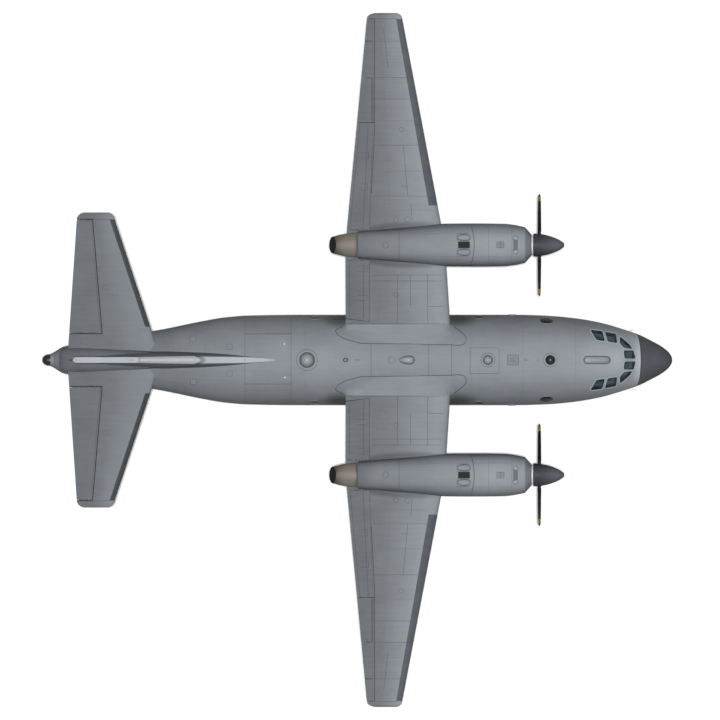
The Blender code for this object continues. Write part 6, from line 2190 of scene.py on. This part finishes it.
# %% Vents, end seals and lamps
VENT_GREY = plain("vent_grey_paint", (0.115, 0.123, 0.132), 0.6, level=0.1)
PALE_METAL_DULL = plain("vent_end_paint", (0.24, 0.25, 0.265), 0.5, level=0.1)
for side, word in SIDES:
    y = side * ENGINE_Y
    # A dark plate stands for the inside of the cooler exit: painted shade.
    plate_on(f"cooler_exit_{word}", 4.156, 4.64, y - 0.13, y + 0.13, DARK_GAP, NACELLE_SKINS, 0.01,
        "dark_paint")
    for sign, part in ((-1, "inner"), (1, "outer")):
        blister(
            f"cooler_blister_{part}_{word}",
            [(4.66, 0.05, 0.01), (4.58, 0.11, 0.05), (4.42, 0.13, 0.065), (4.22, 0.11, 0.05),
                (4.12, 0.04, 0.01)],
            NACELLE_PAINT, 0.12, NACELLE_SKINS, y + sign * 0.3,
        )
    plate_on(f"cowl_vent_{word}", 6.435, 6.625, y - 0.24, y + 0.24, VENT_GREY, NACELLE_SKINS, 0.006,
        "dark_paint")
    for sign, part in ((-1, "inner"), (1, "outer")):
        dome(f"cowl_vent_end_{part}_{word}", 6.53, y + sign * 0.27, 0.085, 0.02, PALE_METAL_DULL,
            NACELLE_SKINS, ring=0.105, sides=32)
    plate_on(f"cowl_hatch_{word}", 5.76, 6.05, y - 0.116, y + 0.116, HATCH_PAINT, NACELLE_SKINS, 0.004)

for name, item in (("inboard_flap", FLAP_INNER), ("outboard_flap", FLAP_OUTER), ("aileron", AILERON),
    ("elevator", ELEVATOR)):
    surface, inner, outer = item[:3]
    ends = []
    for span, out in ((inner - 0.024, -1), (outer + 0.01, 1)):
        if name == "inboard_flap" and out < 0:
            continue
        rings = []
        for s in (span, span + 0.014):
            x = hinge_x(item, s)
            trailing = surface.station(s)[1]
            xs = [x + 0.1 + (trailing - x - 0.1) * i / 10 for i in range(11)]
            ring = [surface.place(s, at, surface.offset(s, at, 1) + 0.001) for at in xs]
            ring += [surface.place(s, at, surface.offset(s, at, -1) - 0.001) for at in reversed(xs)]
            rings.append(ring)
        ends.append(loft("end_seal", rings))
    pair(wear(joined(f"{name}_ends", ends), DARK_GAP), f"{name}_end_seals", "dark_paint")
print("end seals fitted")


def moving_lines(name, item, plans, tree_names, width=0.014, finish=SEAM):
    """Ribbons on a moving surface, for each side."""
    for side, word in SIDES:
        tree = tree_of(f"{tree_names}_{word}")
        found = []
        for points in plans:
            found += draped(tree, both_sides(points, side), width, pitch=0.25)
        lay(f"{name}_{word}", finish, "dark_paint", found, f"{item}_{word}")


def trailing_strip(surface, y, back=0.124):
    return surface.station(y)[1] + back


moving_lines("outboard_flap_lines", "outboard_flap", [
    [(0.227, 5.43), (0.451, 9.77)],
        [(trailing_strip(WING, 5.43), 5.43), (trailing_strip(WING, 9.77), 9.77)],
    *[frame_line(x0, x1, y - 0.125, y + 0.125) for x0, x1, y in ((0.1, 0.42, 7.154), (0.14, 0.46, 8.44))],
], "outboard_flap_skin")
moving_lines("inboard_flap_lines", "inboard_flap", [
    [(0.252, 1.7), (0.252, 3.92)], [(-0.331, 1.75), (-0.331, 3.92)],
        *[frame_line(0.0, 0.4, y - 0.11, y + 0.11) for y in (2.564, 3.78)],
], "inboard_flap_skin")
moving_lines("aileron_lines", "aileron", [
    frame_line(0.12, 0.6, 9.87, 11.662)[1:], [(0.6, 13.182), (0.31, 13.182)],
], "aileron_skin", 0.024, DARK_GAP)
moving_lines("elevator_lines", "elevator", [
    [(-10.78 - (y - 1.4) * 0.066, y), (-11.55, y)] for y in (2.6, 3.75, 4.9)
], "elevator_skin", 0.011, FAINT_SEAM)

lines = []
for side, _ in SIDES:
    for y in (5.59, 3.75, 1.46):
        hinge = hinge_x(ELEVATOR, y)
        lines += draped(TAIL_SKINS,
            both_sides(frame_line(hinge + 0.02, hinge + 0.22, y - 0.07, y + 0.07), side), 0.012,
            closed=True)
    lines += draped(TAIL_SKINS, both_sides(frame_line(-10.5, -10.34, 2.91, 3.07), side), 0.012, closed=True)
    lines += draped(TAIL_SKINS,
        both_sides([(TAILPLANE.station(5.81)[0] - 0.02, 5.815), (-11.56, 5.815)], side), 0.014)
lay("tailplane_seams", SEAM, "dark_paint", lines)
heavy = []
for side, _ in SIDES:
    heavy += draped(TAIL_SKINS,
        both_sides([(hinge_x(ELEVATOR, 1.1) + 0.13, 1.1), (hinge_x(ELEVATOR, 5.79) + 0.1, 5.79)], side),
        0.036, pitch=0.25)
    for y in (1.085, 5.825):
        trailing = TAILPLANE.station(y)[1]
        heavy += draped(TAIL_SKINS,
            both_sides([(trailing + 0.03, y), (hinge_x(ELEVATOR, y) + 0.13, y)], side), 0.034, lift=0.008)
lay("elevator_gap_lips", DARK_GAP, "dark_paint", heavy)

for side, word in SIDES:
    lamp = turned(f"wing_tip_lamp_{word}_shell",
        [(-0.1, 0.001), (-0.09, 0.035), (0.0, 0.055), (0.1, 0.055), (0.2, 0.035), (0.24, 0.001)],
                  (1.42, side * (HALF_SPAN - 0.1), wing_height(HALF_SPAN - 0.1)), (1, 0, 0), 32)
    placed(wear(smooth(lamp, 60), LAMP_RED if side > 0 else LAMP_GREEN), "airframe", "bare_metal")

lamp_place = Vector((0, 0, mid_z(-12.65)))
profile = [(-13.05, 0.001), (-13.04, 0.07), (-13.01, 0.13), (-12.96, 0.18), (-12.9, 0.215), (-12.83, 0.235),
    (-12.7, 0.24), (-12.652, 0.24)]
ball = turned("tail_light_ball", profile, lamp_place, (1, 0, 0), 56)
placed(wear(smooth(ball, 50), DOME_DARK), "airframe", "dark_paint", "tail_light")
sleeve = turned("tail_light_sleeve",
    [(-12.7, 0.238), (-12.7, 0.262), (-12.6, 0.292), (-12.56, 0.295), (-12.56, 0.25)], lamp_place,
    (1, 0, 0), 56, True)
placed(wear(smooth(sleeve, 40), HATCH_PAINT), "airframe", "grey_paint")
beacon = turned("fin_beacon", [(-0.03, 0.05), (0.02, 0.05), (0.06, 0.04), (0.085, 0.02), (0.09, 0.001)],
    (-10.9, 0, high("fin").z - 0.12), (0, 0, 1), 32)
placed(wear(smooth(beacon, 50), LAMP_RED), "airframe", "bare_metal")
belly = turned("belly_beacon", [(0.03, 0.06), (0.0, 0.07), (-0.06, 0.05), (-0.085, 0.02), (-0.09, 0.001)],
    (5.2, 0, bottom_z(5.2)), (0, 0, 1), 32)
placed(wear(smooth(belly, 50), LAMP_RED), "airframe", "bare_metal")
for name, x, z in (("upper_blade_aerial", 6.95, 1), ("belly_blade_aerial_front", 7.6, -1),
    ("belly_blade_aerial_rear", 3.9, -1)):
    base = (top_z(x) - 0.02) if z > 0 else bottom_z(x) + 0.02
    rings = [[Vector((x + dx + lean, dy, base + z * h)) for dx,
        dy in ((0.14 * c, 0.0), (0.0, 0.014 * c), (-0.14 * c, 0.0), (0.0, -0.014 * c))]
             for h, c, lean in ((0.0, 1.0, 0.0), (0.12, 0.85, -0.04), (0.25, 0.6, -0.1),
                 (0.28, 0.35, -0.12))]
    placed(wear(smooth(loft(name, rings), 60), DOME_GREY), "airframe", "grey_paint")

# %% [markdown]
# ## Floor, light and camera
# The plane is seen from straight above on a pale floor. The sun stands overhead, so the plane hides its own
# shadow. The sky is dim and the floor is duller to light than to the camera, so steep faces grow darker.

# %% Stage and view
floor = box("ground", (-400, -400, -1.0), (400, 400, -0.001))
ground, g = bare("pale_ground")
seen = g.add("LightPath").outputs["Is Camera Ray"]
g.join(g.mix(seen, grey(0.52), grey(0.8)), g.shader.inputs["Base Color"])
set_values(g.shader, Roughness=0.9, Specular_IOR_Level=0.0)
wear(floor, ground)
sun_data = bpy.data.lights.new("key_light", "SUN")
sun_data.energy, sun_data.angle = 4.0, math.radians(2)
sun = bpy.data.objects.new("key_light", sun_data)
bpy.context.scene.collection.objects.link(sun)
world = bpy.data.worlds.new("studio")
bpy.context.scene.world = world
world.use_nodes = True
world.node_tree.nodes["Background"].inputs[0].default_value = (0.9, 0.95, 1.0, 1)
world.node_tree.nodes["Background"].inputs[1].default_value = 0.08
camera_data = bpy.data.cameras.new("view")
camera_data.lens, camera_data.clip_end = 1000, 2000
camera = bpy.data.objects.new("view", camera_data)
camera.location = (0.103, 0.0, 4.3 + 827.0)
bpy.context.scene.collection.objects.link(camera)
bpy.context.scene.camera = camera
bpy.context.scene.view_settings.view_transform = "Standard"
